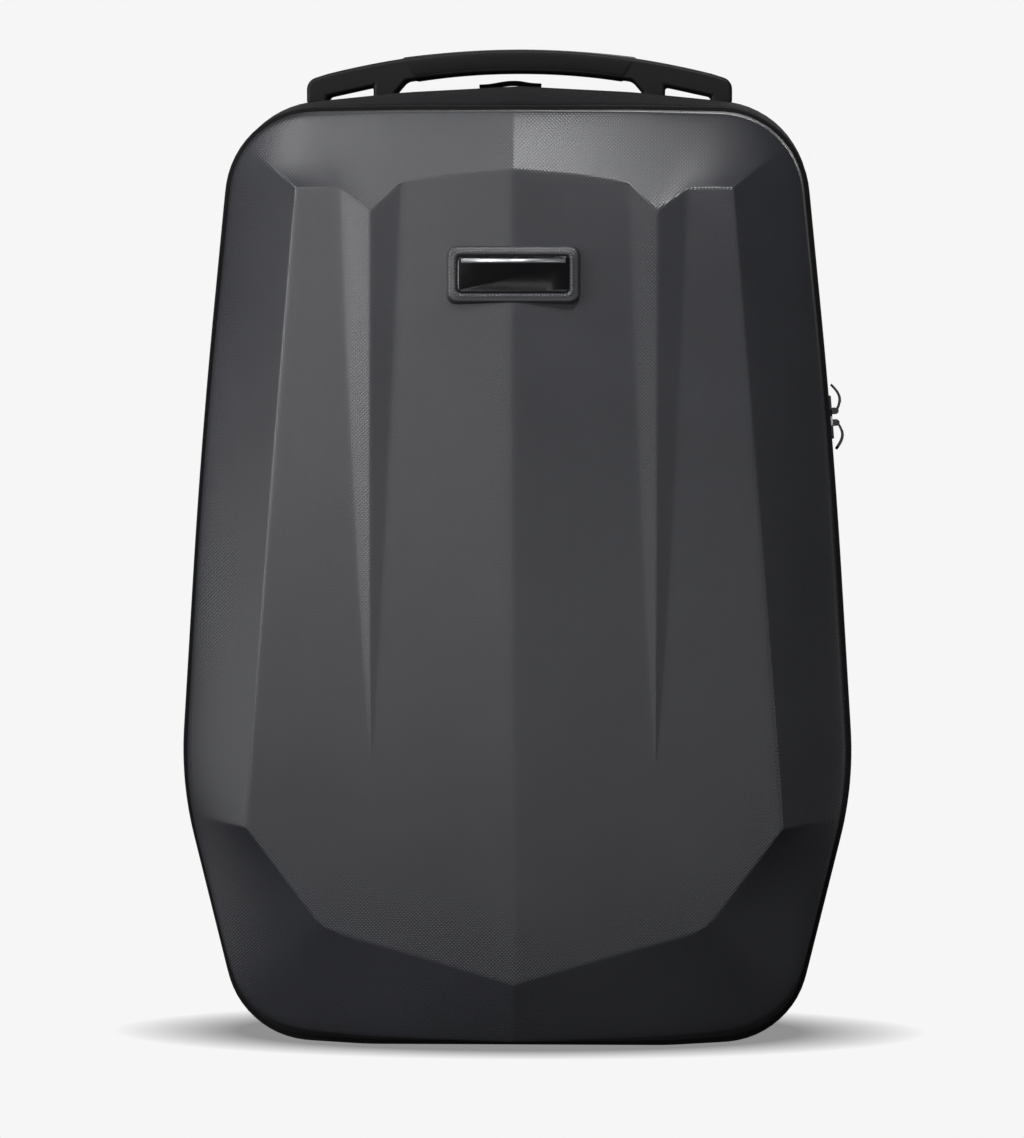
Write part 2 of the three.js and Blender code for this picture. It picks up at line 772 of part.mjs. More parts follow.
// Slider round the chain, nose down when facing is 1, with two cheeks that hold a pin across it.
// Local X runs out from the bag's outline, Y across the chain and Z along it.
function slider(facing) {
  const low = -tapeInset + clearance;
  const plateLow = low + chainHeight + clearance;
  const plateHigh = plateLow + sliderPlate;
  const wide = chainWidth / 2 + clearance + sliderWall;
  const nose = sliderNose / 2;
  const near = sliderGap / 2;
  const far = near + sliderLength;
  const shape = new THREE.Shape([
    new THREE.Vector2(-nose, near),
    new THREE.Vector2(nose, near),
    new THREE.Vector2(wide, near + sliderShoulder),
    new THREE.Vector2(wide, far - sliderWall),
    new THREE.Vector2(wide - sliderWall, far),
    new THREE.Vector2(sliderWall - wide, far),
    new THREE.Vector2(-wide, far - sliderWall),
    new THREE.Vector2(-wide, near + sliderShoulder),
  ]);
  const extruded = new THREE.ExtrudeGeometry(shape, { depth: plateHigh - low, bevelEnabled: false });
  const axes = new THREE.Matrix4().makeBasis(point(0, 1, 0), point(0, 0, 1), point(1, 0, 0));
  let body = toSolid(extruded.applyMatrix4(axes).translate(low, 0, 0));
  const tunnel = chainWidth / 2 + clearance;
  body = body.subtract(block(point(low - 1, -tunnel, near - 1), point(plateLow, tunnel, far + 1)));
  const axisX = plateHigh + pinRadius + clearance + eyeWall + clearance;
  const axisZ = near + pinReach;
  const cheek = eyeWidth / 2 + clearance;
  const eyeReach = pinRadius + clearance + eyeWall;
  [-1, 1].forEach((side) => {
    const boss = disc(eyeReach, eyeSides, cheekWall);
    boss.translate(axisX, side * (cheek + cheekWall / 2), axisZ);
    const inside = Math.min(side * cheek, side * (cheek + cheekWall));
    const post = block(
      point(plateHigh - clearance, inside, axisZ - eyeReach),
      point(axisX, inside + cheekWall, axisZ + eyeReach),
    );
    body = body.add(toSolid(boss)).add(post);
  });
  const pin = disc(pinRadius, pinSides, 2 * cheek + cheekWall);
  body = body.add(toSolid(pin.translate(axisX, 0, axisZ)));
  const geometry = toGeometry(body);
  return { geometry: facing > 0 ? geometry : flipped(geometry), axisX, axisZ: facing * axisZ };
}

// The same solid turned end over end along the chain.
function flipped(geometry) {
  return geometry.clone().rotateX(Math.PI);
}

// Pull tab: an eye round the pin, a neck between the cheeks, and a bowed plate. Its own origin is
// on the pin, and it lies along +Z.
function pullTab() {
  const inner = pinRadius + clearance;
  const outer = inner + eyeWall;
  const along = (share) => point(
    Math.sin(share * tabBowTurn + tabBowStart) * tabBow - share * tabLean,
    0,
    share * tabLength,
  );
  const neck = [neckStart, (neckStart + neckEnd) / 2, neckEnd + neckStart].map((share) => ({
    at: along(share),
    width: eyeWidth,
    thickness: tabThickness,
  }));
  const plate = [];
  for (let step = 0; step <= tabSteps; step += 1) {
    const share = neckEnd + (1 - neckEnd) * (step / tabSteps);
    const tip = step === tabSteps ? tabTip : 1;
    plate.push({ at: along(share), width: tabWidth * tip, thickness: tabThickness });
  }
  const across = point(0, 1, 0);
  const solid = toSolid(disc(outer, eyeSides, eyeWidth))
    .add(toSolid(sweep(neck, across, flatSection)))
    .add(toSolid(sweep(plate, across, flatSection)))
    .subtract(toSolid(disc(inner, eyeSides, tabWidth)));
  return toGeometry(solid);
}

// Place and lean of the outline on the right side at a height.
function sideStation(height) {
  const rim = halfOutline(0);
  const above = rim.findIndex((at) => at.y > height);
  const low = rim[above - 1];
  const high = rim[above];
  const at = low.clone().lerp(high, (height - low.y) / (high.y - low.y));
  return { x: at.x, lean: Math.atan2(high.x - low.x, high.y - low.y) };
}

// The strap on one side: the pad's stops, and the frame of the buckle below it.
function strapCourse(side) {
  const stops = padCourse.map((row) => ({
    at: point(
      side * THREE.MathUtils.lerp(padSideTop, padSideBottom, row.side),
      backFace + clearance + padThickness / 2 + row.off * padArch,
      padTop - row.down * padDrop,
    ),
    width: row.wide * padWidth,
    thickness: row.thick * padThickness,
  }));
  const webFace = backFace + 2 * clearance + tabPlateThickness + webThickness / 2;
  const anchor = point(side * anchorSide, webFace, anchorHeight + anchorLap);
  const end = stops.at(-1).at;
  const run = anchor.clone().sub(end).normalize();
  const across = point(1, 0, 0).addScaledVector(run, -run.x).normalize();
  const out = across.clone().cross(run).normalize();
  const bottomHalf = buckleBar * 1.5 + buckleSlot;
  const centre = end.clone().addScaledVector(run, bottomHalf + 2 * tongueWall);
  const frame = new THREE.Matrix4().makeBasis(across, out, run.clone().negate()).setPosition(centre);
  return { stops, frame, across, anchor, webFace };
}

// Pad with a tongue that loops round the buckle's top bar.
function strapPad(side) {
  const course = strapCourse(side);
  const pad = toSolid(sweep(course.stops, point(1, 0, 0), padSection));
  const barLow = buckleBar / 2 + buckleSlot;
  const barHigh = barLow + buckleBar;
  const reach = buckleThickness / 2 + clearance + tongueWall;
  const gap = buckleThickness / 2 + clearance;
  const tongue = block(
    point(-webWidth / 2, -reach, barLow - clearance - tongueWall),
    point(webWidth / 2, reach, barHigh + tongueDepth),
  ).subtract(block(
    point(-webWidth, -gap, barLow - clearance),
    point(webWidth, gap, barHigh + clearance),
  ));
  return toGeometry(pad.add(toSolid(toGeometry(tongue).applyMatrix4(course.frame))));
}

// Adjuster with three bars, drawn in X and Z and thick along Y.
function buckle() {
  const inner = webWidth / 2 + 2 * clearance;
  const outer = inner + buckleRail;
  const high = buckleBar * 1.5 + buckleSlot;
  const shape = roundedShape(2 * outer, 2 * high, buckleRail / 2);
  [-1, 1].forEach((side) => {
    const near = side * (buckleBar / 2);
    const far = side * (buckleBar / 2 + buckleSlot);
    shape.holes.push(new THREE.Path([
      new THREE.Vector2(-inner, near),
      new THREE.Vector2(inner, near),
      new THREE.Vector2(inner, far),
      new THREE.Vector2(-inner, far),
    ]));
  });
  return slab(shape, buckleThickness, 0, buckleBevel);
}

// Webbing from the lower anchor, up behind the buckle, over its middle bar and down as a tail.
function webbing(side) {
  const course = strapCourse(side);
  const gap = buckleThickness / 2 + 2 * clearance + webThickness / 2;
  const over = buckleBar / 2 + 2 * clearance + webThickness / 2;
  const local = (out, up) => point(0, out, up).applyMatrix4(course.frame);
  const low = -(buckleBar * 1.5 + buckleSlot);
  const places = [
    point(side * anchorSide, course.webFace, anchorHeight - anchorLap),
    course.anchor,
    local(-gap, low - buckleBar),
    local(-gap, 0),
    local(-gap, over / 2),
    local(-gap * tailBend, over),
    local(0, over + clearance),
    local(gap * tailBend, over),
    local(gap, over / 2),
    local(gap, 0),
    local(gap, low),
    local(gap + tailSpread * tailBend, low - tailLength / 2),
    local(gap + tailSpread, low - tailLength),
  ];
  const stops = places.map((at) => ({ at, width: webWidth, thickness: webThickness }));
  return sweep(stops, course.across, flatSection);
}

// Sewn tab on the back panel that holds the lower end of the webbing.
function anchorTab(side) {
  const reach = tabPlateSize / 2;
  const shape = new THREE.Shape([
    new THREE.Vector2(-reach, -reach),
    new THREE.Vector2(reach, -reach),
    new THREE.Vector2(reach, reach * tabShoulder),
    new THREE.Vector2(reach * tabHead, reach),
    new THREE.Vector2(-reach * tabHead, reach),
    new THREE.Vector2(-reach, reach * tabShoulder),
  ]);
  const middle = backFace + clearance + tabPlateThickness / 2;
  const plate = slab(shape, tabPlateThickness, middle, softEdge);
  return plate.translate(side * anchorSide, 0, anchorHeight);
}

const bag = new THREE.Group();

function add(name, geometry, finish, parent = bag) {
  const mesh = new THREE.Mesh(geometry, new THREE.MeshStandardMaterial(finish));
  mesh.name = name;
  parent.add(mesh);
  return mesh;
}

add('front_shell', frontShell(), shellFinish);
add('badge_plate', badgePlate(), plateFinish);
add('front_binding', binding(bindingFront, 0), fabricFinish);
add('zip_tape', zipTape(), fabricFinish);
add('zip_chain', zipChain(), metalFinish);
add('gusset_piping', binding(pipingFront, 0), fabricFinish);
add('gusset', gusset(), fabricFinish);
add('back_binding', binding(backBindingFront, backRise), fabricFinish);
add('back_panel', backPanel(), paddingFinish);
add('carry_handle', carryHandle(), handleFinish);
add('handle_grip', toGeometry(gripSleeve(0)), handleFinish);
add('hang_loop', hangLoop(), fabricFinish);

// Both sliders stand nose to nose on the right side of the zip, and lean with the outline there.
const station = sideStation(sliderHeight);
const zipStation = new THREE.Group();
zipStation.position.set(station.x, chainMiddle, sliderHeight);
zipStation.rotation.y = station.lean;
bag.add(zipStation);
[['upper', 1], ['lower', -1]].forEach(([name, facing]) => {
  const made = slider(facing);
  add(`slider_${name}`, made.geometry, metalFinish, zipStation);
  const geometry = facing > 0 ? pullTab() : flipped(pullTab());
  const tab = add(`pull_${name}`, geometry, metalFinish, zipStation);
  tab.position.set(made.axisX, 0, made.axisZ);
});

[['left', -1], ['right', 1]].forEach(([name, side]) => {
  add(`strap_${name}`, strapPad(side), paddingFinish);
  const adjuster = add(`buckle_${name}`, buckle(), handleFinish);
  adjuster.applyMatrix4(strapCourse(side).frame);
  add(`webbing_${name}`, webbing(side), fabricFinish);
  add(`tab_${name}`, anchorTab(side), fabricFinish);
});

// The ground point under the middle of the whole bag is the origin.
const bounds = new THREE.Box3().setFromObject(bag);
bag.position.y = -(bounds.min.y + bounds.max.y) / 2;
const group = new THREE.Group();
group.add(bag);

export default group;
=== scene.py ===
"""Looks of a hard shell backpack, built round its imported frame.

Shape tables are in millimetres, with depth measured backwards from the rim plane of the shell.
Everything that reaches Blender is in metres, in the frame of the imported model.
"""
import math

import bmesh
import bpy
import numpy as np
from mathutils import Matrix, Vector


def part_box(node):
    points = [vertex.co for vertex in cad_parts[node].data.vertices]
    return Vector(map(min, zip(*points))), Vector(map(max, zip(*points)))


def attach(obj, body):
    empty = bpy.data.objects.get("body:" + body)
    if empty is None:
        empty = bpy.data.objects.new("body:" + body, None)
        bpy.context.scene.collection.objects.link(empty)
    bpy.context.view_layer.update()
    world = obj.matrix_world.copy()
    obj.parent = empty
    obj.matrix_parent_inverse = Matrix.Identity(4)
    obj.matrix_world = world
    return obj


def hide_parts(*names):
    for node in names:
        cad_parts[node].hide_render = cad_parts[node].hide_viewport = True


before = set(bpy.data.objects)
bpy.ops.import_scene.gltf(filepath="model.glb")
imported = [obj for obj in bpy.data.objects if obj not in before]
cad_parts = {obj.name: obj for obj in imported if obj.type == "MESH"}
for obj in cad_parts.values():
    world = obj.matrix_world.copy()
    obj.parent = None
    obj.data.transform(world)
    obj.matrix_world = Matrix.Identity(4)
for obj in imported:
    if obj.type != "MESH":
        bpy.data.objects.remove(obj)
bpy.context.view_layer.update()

MM = 0.001
RIM_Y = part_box("front_shell")[1].y
BODY = "bag"

# Whole bag
BAG_WIDTH = 320.0
RIM_HEIGHT = 449.5
TOP_RISE = 9.5
HALF = BAG_WIDTH / 2
CLEAR = 0.3

# Corners of the right half of the outline: x and round are shares of half the width, z is a share of
# the rim height and rise a share of the top rise.
OUTLINE = [
    {"x": 0.45, "z": 0.0, "rise": 0, "round": 1.2},
    {"x": 0.822, "z": 0.008, "rise": 0, "round": 0.27},
    {"x": 1.0095, "z": 0.282, "rise": 0, "round": 1.08},
    {"x": 0.944, "z": 0.645, "rise": 0, "round": 22},
    {"x": 0.844, "z": 0.997, "rise": 0, "round": 0.275},
    {"x": 0.344, "z": 1.0, "rise": 0.7, "round": 1.9},
]

# Front shell
SHELL_DEPTH = 74.0
SHELL_WALL = 2.5
RIM_INSET = 3.0
WALL_DROP = 10.0
WALL_SLOPE = 0.13
WALL_RADIUS = 480.0
WALL_DRAFT = 1.5
FOOT_RISE = 7.5
FOOT_REACH = 60.0
WALL_SHARES = (0.985, 0.95, 0.88, 0.75, 0.5, 0.25, 0.08, 0.0)
FRONT_RADIUS = 1500.0
FRONT_PEAK = 200.0
PANEL_SLOPE = 0.14
SPEAR_HEIGHT = 3.2
SPEAR_WIDTH = 27.7
SPEAR_TIP = 0.75
SPEAR_TAPER = 0.75
SPEAR_FOOT_END = 1.2
SKIRT_FULLNESS = 0.12
LOWER_ANCHOR = 0.253
UPPER_ANCHOR = 0.954

# Creases of the front panel, from its top edge to its bottom edge.
CREASES = [
    {"top": (0.0, 0.93), "bottom": (0.0, 0.089), "foot": 0, "lift": 0, "steps": 9},
    {"top": (0.2, 0.924), "bottom": (0.2, 0.109), "foot": 0, "lift": 0, "steps": 7},
    {"top": (0.415, 0.916), "bottom": (0.411, 0.129), "foot": -1, "lift": 0, "steps": 7},
    {"top": (0.415, 0.888), "bottom": (0.411, 0.1292), "foot": 0, "lift": 1, "steps": 7},
    {"top": (0.415, 0.91), "bottom": (0.411, 0.1294), "foot": 1, "lift": 0, "steps": 5},
    {"top": (0.566, 0.911), "bottom": (0.5575, 0.1433), "foot": 0, "lift": 0, "steps": 4},
    {"top": (0.6, 0.911), "bottom": (0.67, 0.196), "foot": 0, "lift": 0, "steps": 6},
    {"top": (0.634, 0.911), "bottom": (0.7825, 0.2487), "foot": 0, "lift": 0, "steps": 0},
]
PANEL_ROWS = 110
SKIRT_ROWS = 24
SKIRT_POINTS = (50, 110, 50)
RIM_POINTS = 300
SHELL_SOFTENING = 3

# Badge
BADGE_WIDTH = 51.5
BADGE_HEIGHT = 17.0
BADGE_ROUND = 2.0
BADGE_CENTRE = RIM_HEIGHT - 80.0
FRAME_BORDER = 3.4
FRAME_PROUD = 1.0
FRAME_ROOT = 9.0
BEAD_GROW = 1.5
BEAD_COUNT = 96
LINE_REACH = 24.0
LINE_LOW = 5.2
LINE_HIGH = 7.2

# Layers behind the rim plane
BINDING_DEPTH = 4.0
TAPE_DEPTH = 20.0
GUSSET_DEPTH = 58.0
PANEL_THICKNESS = 12.0
BINDING_WALL = 3.3
BINDING_INSET = 0.8
TAPE_INSET = 2.5
TAPE_WALL = 1.5
CHAIN_WIDTH = 6.0
TEETH_COUNT = 620
TAPE_STITCH_INSET = 2.2
GUSSET_WALL = 2.0
GUSSET_CROWN = 7.0
BINDING_FRONT = CLEAR
TAPE_FRONT = BINDING_FRONT + BINDING_DEPTH + CLEAR
CHAIN_MIDDLE = TAPE_FRONT + TAPE_DEPTH / 2
PIPING_FRONT = TAPE_FRONT + TAPE_DEPTH + CLEAR
GUSSET_FRONT = PIPING_FRONT + BINDING_DEPTH + CLEAR
GUSSET_BACK = GUSSET_FRONT + GUSSET_DEPTH
BACK_BINDING = GUSSET_BACK + CLEAR
BACK_FACE = BACK_BINDING + 2 * BINDING_DEPTH
HANDLE_MIDDLE = (GUSSET_FRONT + GUSSET_BACK) / 2

# Carry handle
HANDLE_SPAN = 205.0
HANDLE_TOP = 27.1
HANDLE_RADIUS = 370.0
HANDLE_THICKNESS = 11.0
HANDLE_DEPTH = 24.0
HANDLE_END_ROUND = 6.0
HANDLE_END_RUN = 14.0
HANDLE_EDGE = 2.2
OUTER_FOOT = 10.0
INNER_FOOT = 10.8
SLOT_LENGTH = 22.2
FOOT_FLARE = 5.0
GRIP_LENGTH = 107.0
GRIP_EDGE = 1.4
GRIP_SLANT = 0.45
GRIP_GIRTH = 66.0

# Hang loop
LOOP_LENGTH = 30.0
LOOP_RISE = 3.4
LOOP_BAND = 12.0
LOOP_THICKNESS = 2.4
LOOP_SIDE = -5.0
LOOP_SETBACK = 4.0
LOOP_BELL = 0.8

# Padded back
PAD_ROLL = 6.0
PAD_CROWN = 5.6
PAD_SHOULDER = 7.0
CHANNEL_SIDE = 8.0
CHANNEL_HEIGHTS = (96.0, 250.0)
CHANNEL_DIP = 4.2
BORDER_DIP = 3.4
BORDER_PLACE = 17.0
BORDER_WIDTH = 3.2

# Shoulder straps
PAD_WIDTH = 62.0
PAD_THICKNESS = 11.0
PAD_PRESSURE = 4.0
PAD_SWELL = 1.6
PAD_TOP = RIM_HEIGHT - 21.5
PAD_DROP = 236.0
PAD_ARCH = 24.0
PAD_SIDE_TOP = 46.0
PAD_SIDE_BOTTOM = 92.0
PAD_COLUMNS = ("down", "off", "side", "wide", "thick")
PAD_COURSE = [
    (0.0, 0.0, 0.0, 0.9, 0.7),
    (0.06, 0.06, 0.01, 1.0, 1.0),
    (0.2, 0.6, 0.06, 1.0, 1.0),
    (0.36, 0.95, 0.2, 1.0, 1.0),
    (0.52, 1.0, 0.42, 1.0, 1.0),
    (0.68, 0.88, 0.65, 0.98, 1.0),
    (0.84, 0.68, 0.86, 0.88, 1.0),
    (0.95, 0.52, 0.97, 0.68, 0.95),
    (1.0, 0.44, 1.0, 0.45, 0.6),
]
WEB_WIDTH = 22.0
WEB_THICKNESS = 1.6
TAIL_LENGTH = 95.0
TAIL_SPREAD = 4.0
BUCKLE_BAR = 4.0
BUCKLE_SLOT = 7.0
BUCKLE_THICKNESS = 4.0
TONGUE_WALL = 1.3
ANCHOR_SIDE = HALF - 48.0
ANCHOR_HEIGHT = 42.0
ANCHOR_LAP = 14.0
TAB_PLATE = 2.4
EDGE_INSET = 1.6
EDGE_WIDTH = 5.2
EDGE_DEPTH = 6.6
EDGE_POINTS = 260
EDGE_STITCH_INSET = 3.4
EDGE_STITCH_PROUD = 4.1
EDGE_STITCH_PITCH = 4.6
ANCHOR_BOX = (8, 11)
ANCHOR_STITCH_PITCH = 3.4


# Node graphs for the materials

class Graph:
    """A Principled material with a few short ways to add procedural nodes."""

    def __init__(self, name, color, roughness, metallic=0.0, specular=0.5):
        self.material = bpy.data.materials.new(name)
        self.material.use_nodes = True
        self.tree = self.material.node_tree
        self.shader = self.tree.nodes["Principled BSDF"]
        self.set("Base Color", (*color, 1.0))
        self.set("Roughness", roughness)
        self.set("Metallic", metallic)
        self.set("Specular IOR Level", specular)

    def set(self, socket, value):
        self.shader.inputs[socket].default_value = value

    def link(self, value, socket):
        if isinstance(value, bpy.types.NodeSocket):
            self.tree.links.new(value, socket)
        else:
            socket.default_value = value

    def math(self, operation, first, second=0.0, clamp=False):
        node = self.tree.nodes.new("ShaderNodeMath")
        node.operation = operation
        node.use_clamp = clamp
        self.link(first, node.inputs[0])
        self.link(second, node.inputs[1])
        return node.outputs[0]

    def axes(self, source):
        """Three coordinates, in metres, of the object or of the flow along a strip."""
        coordinates = self.tree.nodes.new("ShaderNodeTexCoord")
        split = self.tree.nodes.new("ShaderNodeSeparateXYZ")
        self.tree.links.new(coordinates.outputs[source], split.inputs[0])
        return split.outputs[0], split.outputs[1], split.outputs[2]

    def noise(self, size, detail=3.0, stretch=(1, 1, 1)):
        coordinates = self.tree.nodes.new("ShaderNodeTexCoord")
        mapping = self.tree.nodes.new("ShaderNodeMapping")
        mapping.inputs["Scale"].default_value = stretch
        texture = self.tree.nodes.new("ShaderNodeTexNoise")
        texture.inputs["Scale"].default_value = 1.0 / size
        texture.inputs["Detail"].default_value = detail
        self.tree.links.new(coordinates.outputs["Object"], mapping.inputs[0])
        self.tree.links.new(mapping.outputs[0], texture.inputs["Vector"])
        return texture.outputs[0]

    def wave(self, along, pitch, phase=0.0):
        """A sine of 0 to 1 with one crest a pitch."""
        turns = self.math("MULTIPLY", along, 2 * math.pi / pitch)
        sine = self.math("SINE", self.math("ADD", turns, phase))
        return self.math("MULTIPLY", self.math("ADD", sine, 1.0), 0.5)

    def mix_color(self, factor, dark, light):
        node = self.tree.nodes.new("ShaderNodeMix")
        node.data_type = "RGBA"
        self.link(factor, node.inputs["Factor"])
        node.inputs["A"].default_value = (*dark, 1.0)
        node.inputs["B"].default_value = (*light, 1.0)
        self.tree.links.new(node.outputs["Result"], self.shader.inputs["Base Color"])

    def rough(self, factor, low, high):
        span = self.math("MULTIPLY", factor, high - low)
        self.link(self.math("ADD", span, low), self.shader.inputs["Roughness"])

    def bump(self, height, distance, strength=1.0):
        node = self.tree.nodes.new("ShaderNodeBump")
        node.inputs["Strength"].default_value = strength
        node.inputs["Distance"].default_value = distance
        self.tree.links.new(height, node.inputs["Height"])
        self.tree.links.new(node.outputs[0], self.shader.inputs["Normal"])


def shaded(color, share):
    return tuple(channel * share for channel in color)


def shell_material():
    """Satin charcoal moulding with a fine diagonal twill grain and a faint mottle."""
    graph = Graph("shell_grain", SHELL_COLOR, 0.3, specular=0.5)
    x, z = graph.axes("Object")[::2]
    rising = graph.wave(graph.math("ADD", x, z), TWILL_PITCH)
    falling = graph.wave(graph.math("SUBTRACT", x, z), TWILL_PITCH)
    twill = graph.math("MULTIPLY", rising, falling)
    mottle = graph.noise(0.05, 4.0)
    tint = graph.math("ADD", graph.math("MULTIPLY", twill, 0.55), graph.math("MULTIPLY", mottle, 0.45))
    graph.mix_color(tint, shaded(SHELL_COLOR, 0.72), shaded(SHELL_COLOR, 1.3))
    graph.rough(mottle, 0.26, 0.34)
    fine = graph.math("MULTIPLY", graph.noise(0.0012, 2.0), 0.25)
    graph.bump(graph.math("ADD", twill, fine), 0.00009)
    return graph.material


def weave_material(name, color, pitch, depth, roughness=0.85, sheen=0.03):
    """Plain woven cloth: threads cross over and under at the given pitch, in metres."""
    graph = Graph(name, color, roughness, specular=0.12)
    along, across = graph.axes("UV")[:2]
    warp = graph.math("SINE", graph.math("MULTIPLY", along, math.pi / pitch))
    weft = graph.math("SINE", graph.math("MULTIPLY", across, math.pi / pitch))
    over = graph.math("MULTIPLY", warp, weft)
    choice = graph.math("ADD", graph.math("MULTIPLY", over, 1.5), 0.5, clamp=True)
    upper = graph.math("MULTIPLY", graph.math("ABSOLUTE", warp), choice)
    lower = graph.math("MULTIPLY", graph.math("ABSOLUTE", weft), graph.math("SUBTRACT", 1.0, choice))
    height = graph.math("ADD", upper, lower)
    mottle = graph.noise(0.03, 4.0)
    tint = graph.math("MULTIPLY", graph.math("ADD", height, mottle), 0.5)
    graph.mix_color(tint, shaded(color, 0.45), shaded(color, 1.6))
    graph.rough(mottle, roughness - 0.08, min(1.0, roughness + 0.08))
    graph.bump(height, depth)
    graph.set("Sheen Weight", sheen)
    graph.set("Sheen Roughness", 0.5)
    return graph.material


def ribbed_material(name, color, pitch, depth):
    """Webbing or edge tape: ribs run along it, crossed by fine weft."""
    graph = Graph(name, color, 0.8, specular=0.12)
    along, across = graph.axes("UV")[:2]
    ribs = graph.wave(across, pitch)
    chevron = graph.math("ADD", along, graph.math("MULTIPLY", ribs, pitch * 0.7))
    weft = graph.wave(chevron, pitch * 0.55)
    height = graph.math("ADD", graph.math("MULTIPLY", ribs, 0.7), graph.math("MULTIPLY", weft, 0.3))
    tint = graph.math("MULTIPLY", graph.math("ADD", height, graph.noise(0.02, 3.0)), 0.5)
    graph.mix_color(tint, shaded(color, 0.5), shaded(color, 1.7))
    graph.rough(weft, 0.72, 0.88)
    graph.bump(height, depth)
    graph.set("Sheen Weight", 0.03)
    return graph.material


def mesh_material(name, color):
    """Spacer mesh: rows of small open cells over a dark foam."""
    graph = Graph(name, color, 0.9, specular=0.2)
    along, across = graph.axes("UV")[:2]
    shift = graph.math("MULTIPLY", across, 0.5)
    first = graph.wave(graph.math("ADD", along, shift), 0.0026)
    second = graph.wave(graph.math("SUBTRACT", along, shift), 0.0026)
    third = graph.wave(across, 0.0026)
    cells = graph.math("MULTIPLY", graph.math("MULTIPLY", first, second), third)
    holes = graph.math("SUBTRACT", 1.0, graph.math("MULTIPLY", cells, 1.9), clamp=True)
    graph.mix_color(holes, shaded(color, 0.25), shaded(color, 1.7))
    graph.rough(holes, 1.0, 0.8)
    graph.bump(holes, 0.0005)
    graph.set("Sheen Weight", 0.2)
    return graph.material


def moulded_material(name, color, roughness, grain=0.0009, depth=0.00006, specular=0.5):
    """Moulded plastic or rubber with a fine spark-eroded grain."""
    graph = Graph(name, color, roughness, specular=specular)
    fine = graph.noise(grain, 2.0)
    broad = graph.noise(0.04, 3.0)
    graph.mix_color(broad, shaded(color, 0.8), shaded(color, 1.25))
    graph.rough(fine, roughness - 0.06, roughness + 0.08)
    graph.bump(fine, depth)
    return graph.material


def metal_material(name, color, roughness):
    """Plated die-cast metal with faint polishing marks."""
    graph = Graph(name, color, roughness, metallic=0.9)
    marks = graph.noise(0.0016, 4.0, stretch=(1, 1, 4))
    graph.mix_color(marks, shaded(color, 0.7), shaded(color, 1.4))
    graph.rough(marks, roughness - 0.08, roughness + 0.14)
    graph.bump(marks, 0.00002)
    return graph.material


def plate_material():
    """Glossy black enamel with a light orange peel."""
    graph = Graph("plate_gloss", PLATE_COLOR, 0.12, specular=0.4)
    peel = graph.noise(0.004, 2.0)
    graph.rough(graph.noise(0.012, 3.0), 0.08, 0.2)
    graph.bump(peel, 0.00002)
    return graph.material


TWILL_PITCH = 0.00165
SHELL_COLOR = (0.029, 0.0297, 0.0345)
PLATE_COLOR = (0.004, 0.004, 0.0045)
BLACK_CLOTH = (0.005, 0.005, 0.0055)
GUSSET_COLOR = (0.008, 0.008, 0.009)
PAD_COLOR = (0.018, 0.018, 0.020)
HANDLE_COLOR = (0.004, 0.004, 0.0042)
GRIP_COLOR = (0.0035, 0.0035, 0.0037)
METAL_COLOR = (0.05, 0.05, 0.055)
# Colour of the bar that stands in for the badge plate's reflection highlight: a painted highlight.
HIGHLIGHT_BAR_COLOR = (0.55, 0.56, 0.58)
THREAD_COLOR = (0.03, 0.03, 0.032)
# Bead colour is about twice the shell's: a lighter copy of the shell moulding that stands in for the
# highlight along the ridge round the plate, a painted highlight.
BEAD_HIGHLIGHT_COLOR = (0.06, 0.061, 0.064)

LOOKS = {
    "shell": shell_material(),
    "plate": plate_material(),
    "binding": ribbed_material("edge_tape", BLACK_CLOTH, 0.0011, 0.00016),
    "zip_tape": weave_material("zip_tape_weave", BLACK_CLOTH, 0.0008, 0.00012),
    "zip_teeth": moulded_material("zip_coil", (0.02, 0.02, 0.021), 0.4),
    "gusset": weave_material("gusset_weave", GUSSET_COLOR, 0.0010, 0.00016),
    "padding": mesh_material("spacer_mesh", PAD_COLOR),
    "webbing": ribbed_material("webbing_weave", BLACK_CLOTH, 0.0016, 0.0003),
    "handle": moulded_material("handle_grain", HANDLE_COLOR, 0.5, specular=0.2),
    "grip": moulded_material("grip_rubber", GRIP_COLOR, 0.62, grain=0.0006, depth=0.0001, specular=0.15),
    "buckle": moulded_material("buckle_acetal", (0.014, 0.014, 0.015), 0.42),
    "metal": metal_material("gunmetal", METAL_COLOR, 0.34),
    "silver": metal_material("highlight_bar_metal", HIGHLIGHT_BAR_COLOR, 0.3),
    "bead": moulded_material("bead_gloss_painted_highlight", BEAD_HIGHLIGHT_COLOR, 0.24),
    "thread": ribbed_material("thread", THREAD_COLOR, 0.0005, 0.00008),
}


# Making pieces

def in_frame(points):
    """Millimetres behind the rim plane to metres in the frame."""
    made = np.asarray(points, float) * MM
    made[:, 1] += RIM_Y
    return made


def add_piece(name, points, faces, look, slot=None, flow=None, replaces=()):
    """One mesh object in the frame. flow gives, for each corner of each face, metres along and across."""
    mesh = bpy.data.meshes.new(name)
    mesh.from_pydata([tuple(p) for p in in_frame(points)], [], [tuple(f) for f in faces])
    if flow is not None:
        layer = mesh.uv_layers.new(name="flow")
        layer.data.foreach_set("uv", np.asarray(flow, np.float32).ravel())
    mesh.validate()
    obj = bpy.data.objects.new(name, mesh)
    bpy.context.scene.collection.objects.link(obj)
    mesh.materials.append(LOOKS[look])
    mesh.polygons.foreach_set("use_smooth", [True] * len(mesh.polygons))
    turn_outwards(obj)
    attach(obj, BODY)
    if replaces:
        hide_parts(*replaces)
    return obj


def turn_outwards(obj):
    work = bmesh.new()
    work.from_mesh(obj.data)
    bmesh.ops.recalc_face_normals(work, faces=work.faces)
    work.to_mesh(obj.data)
    work.free()


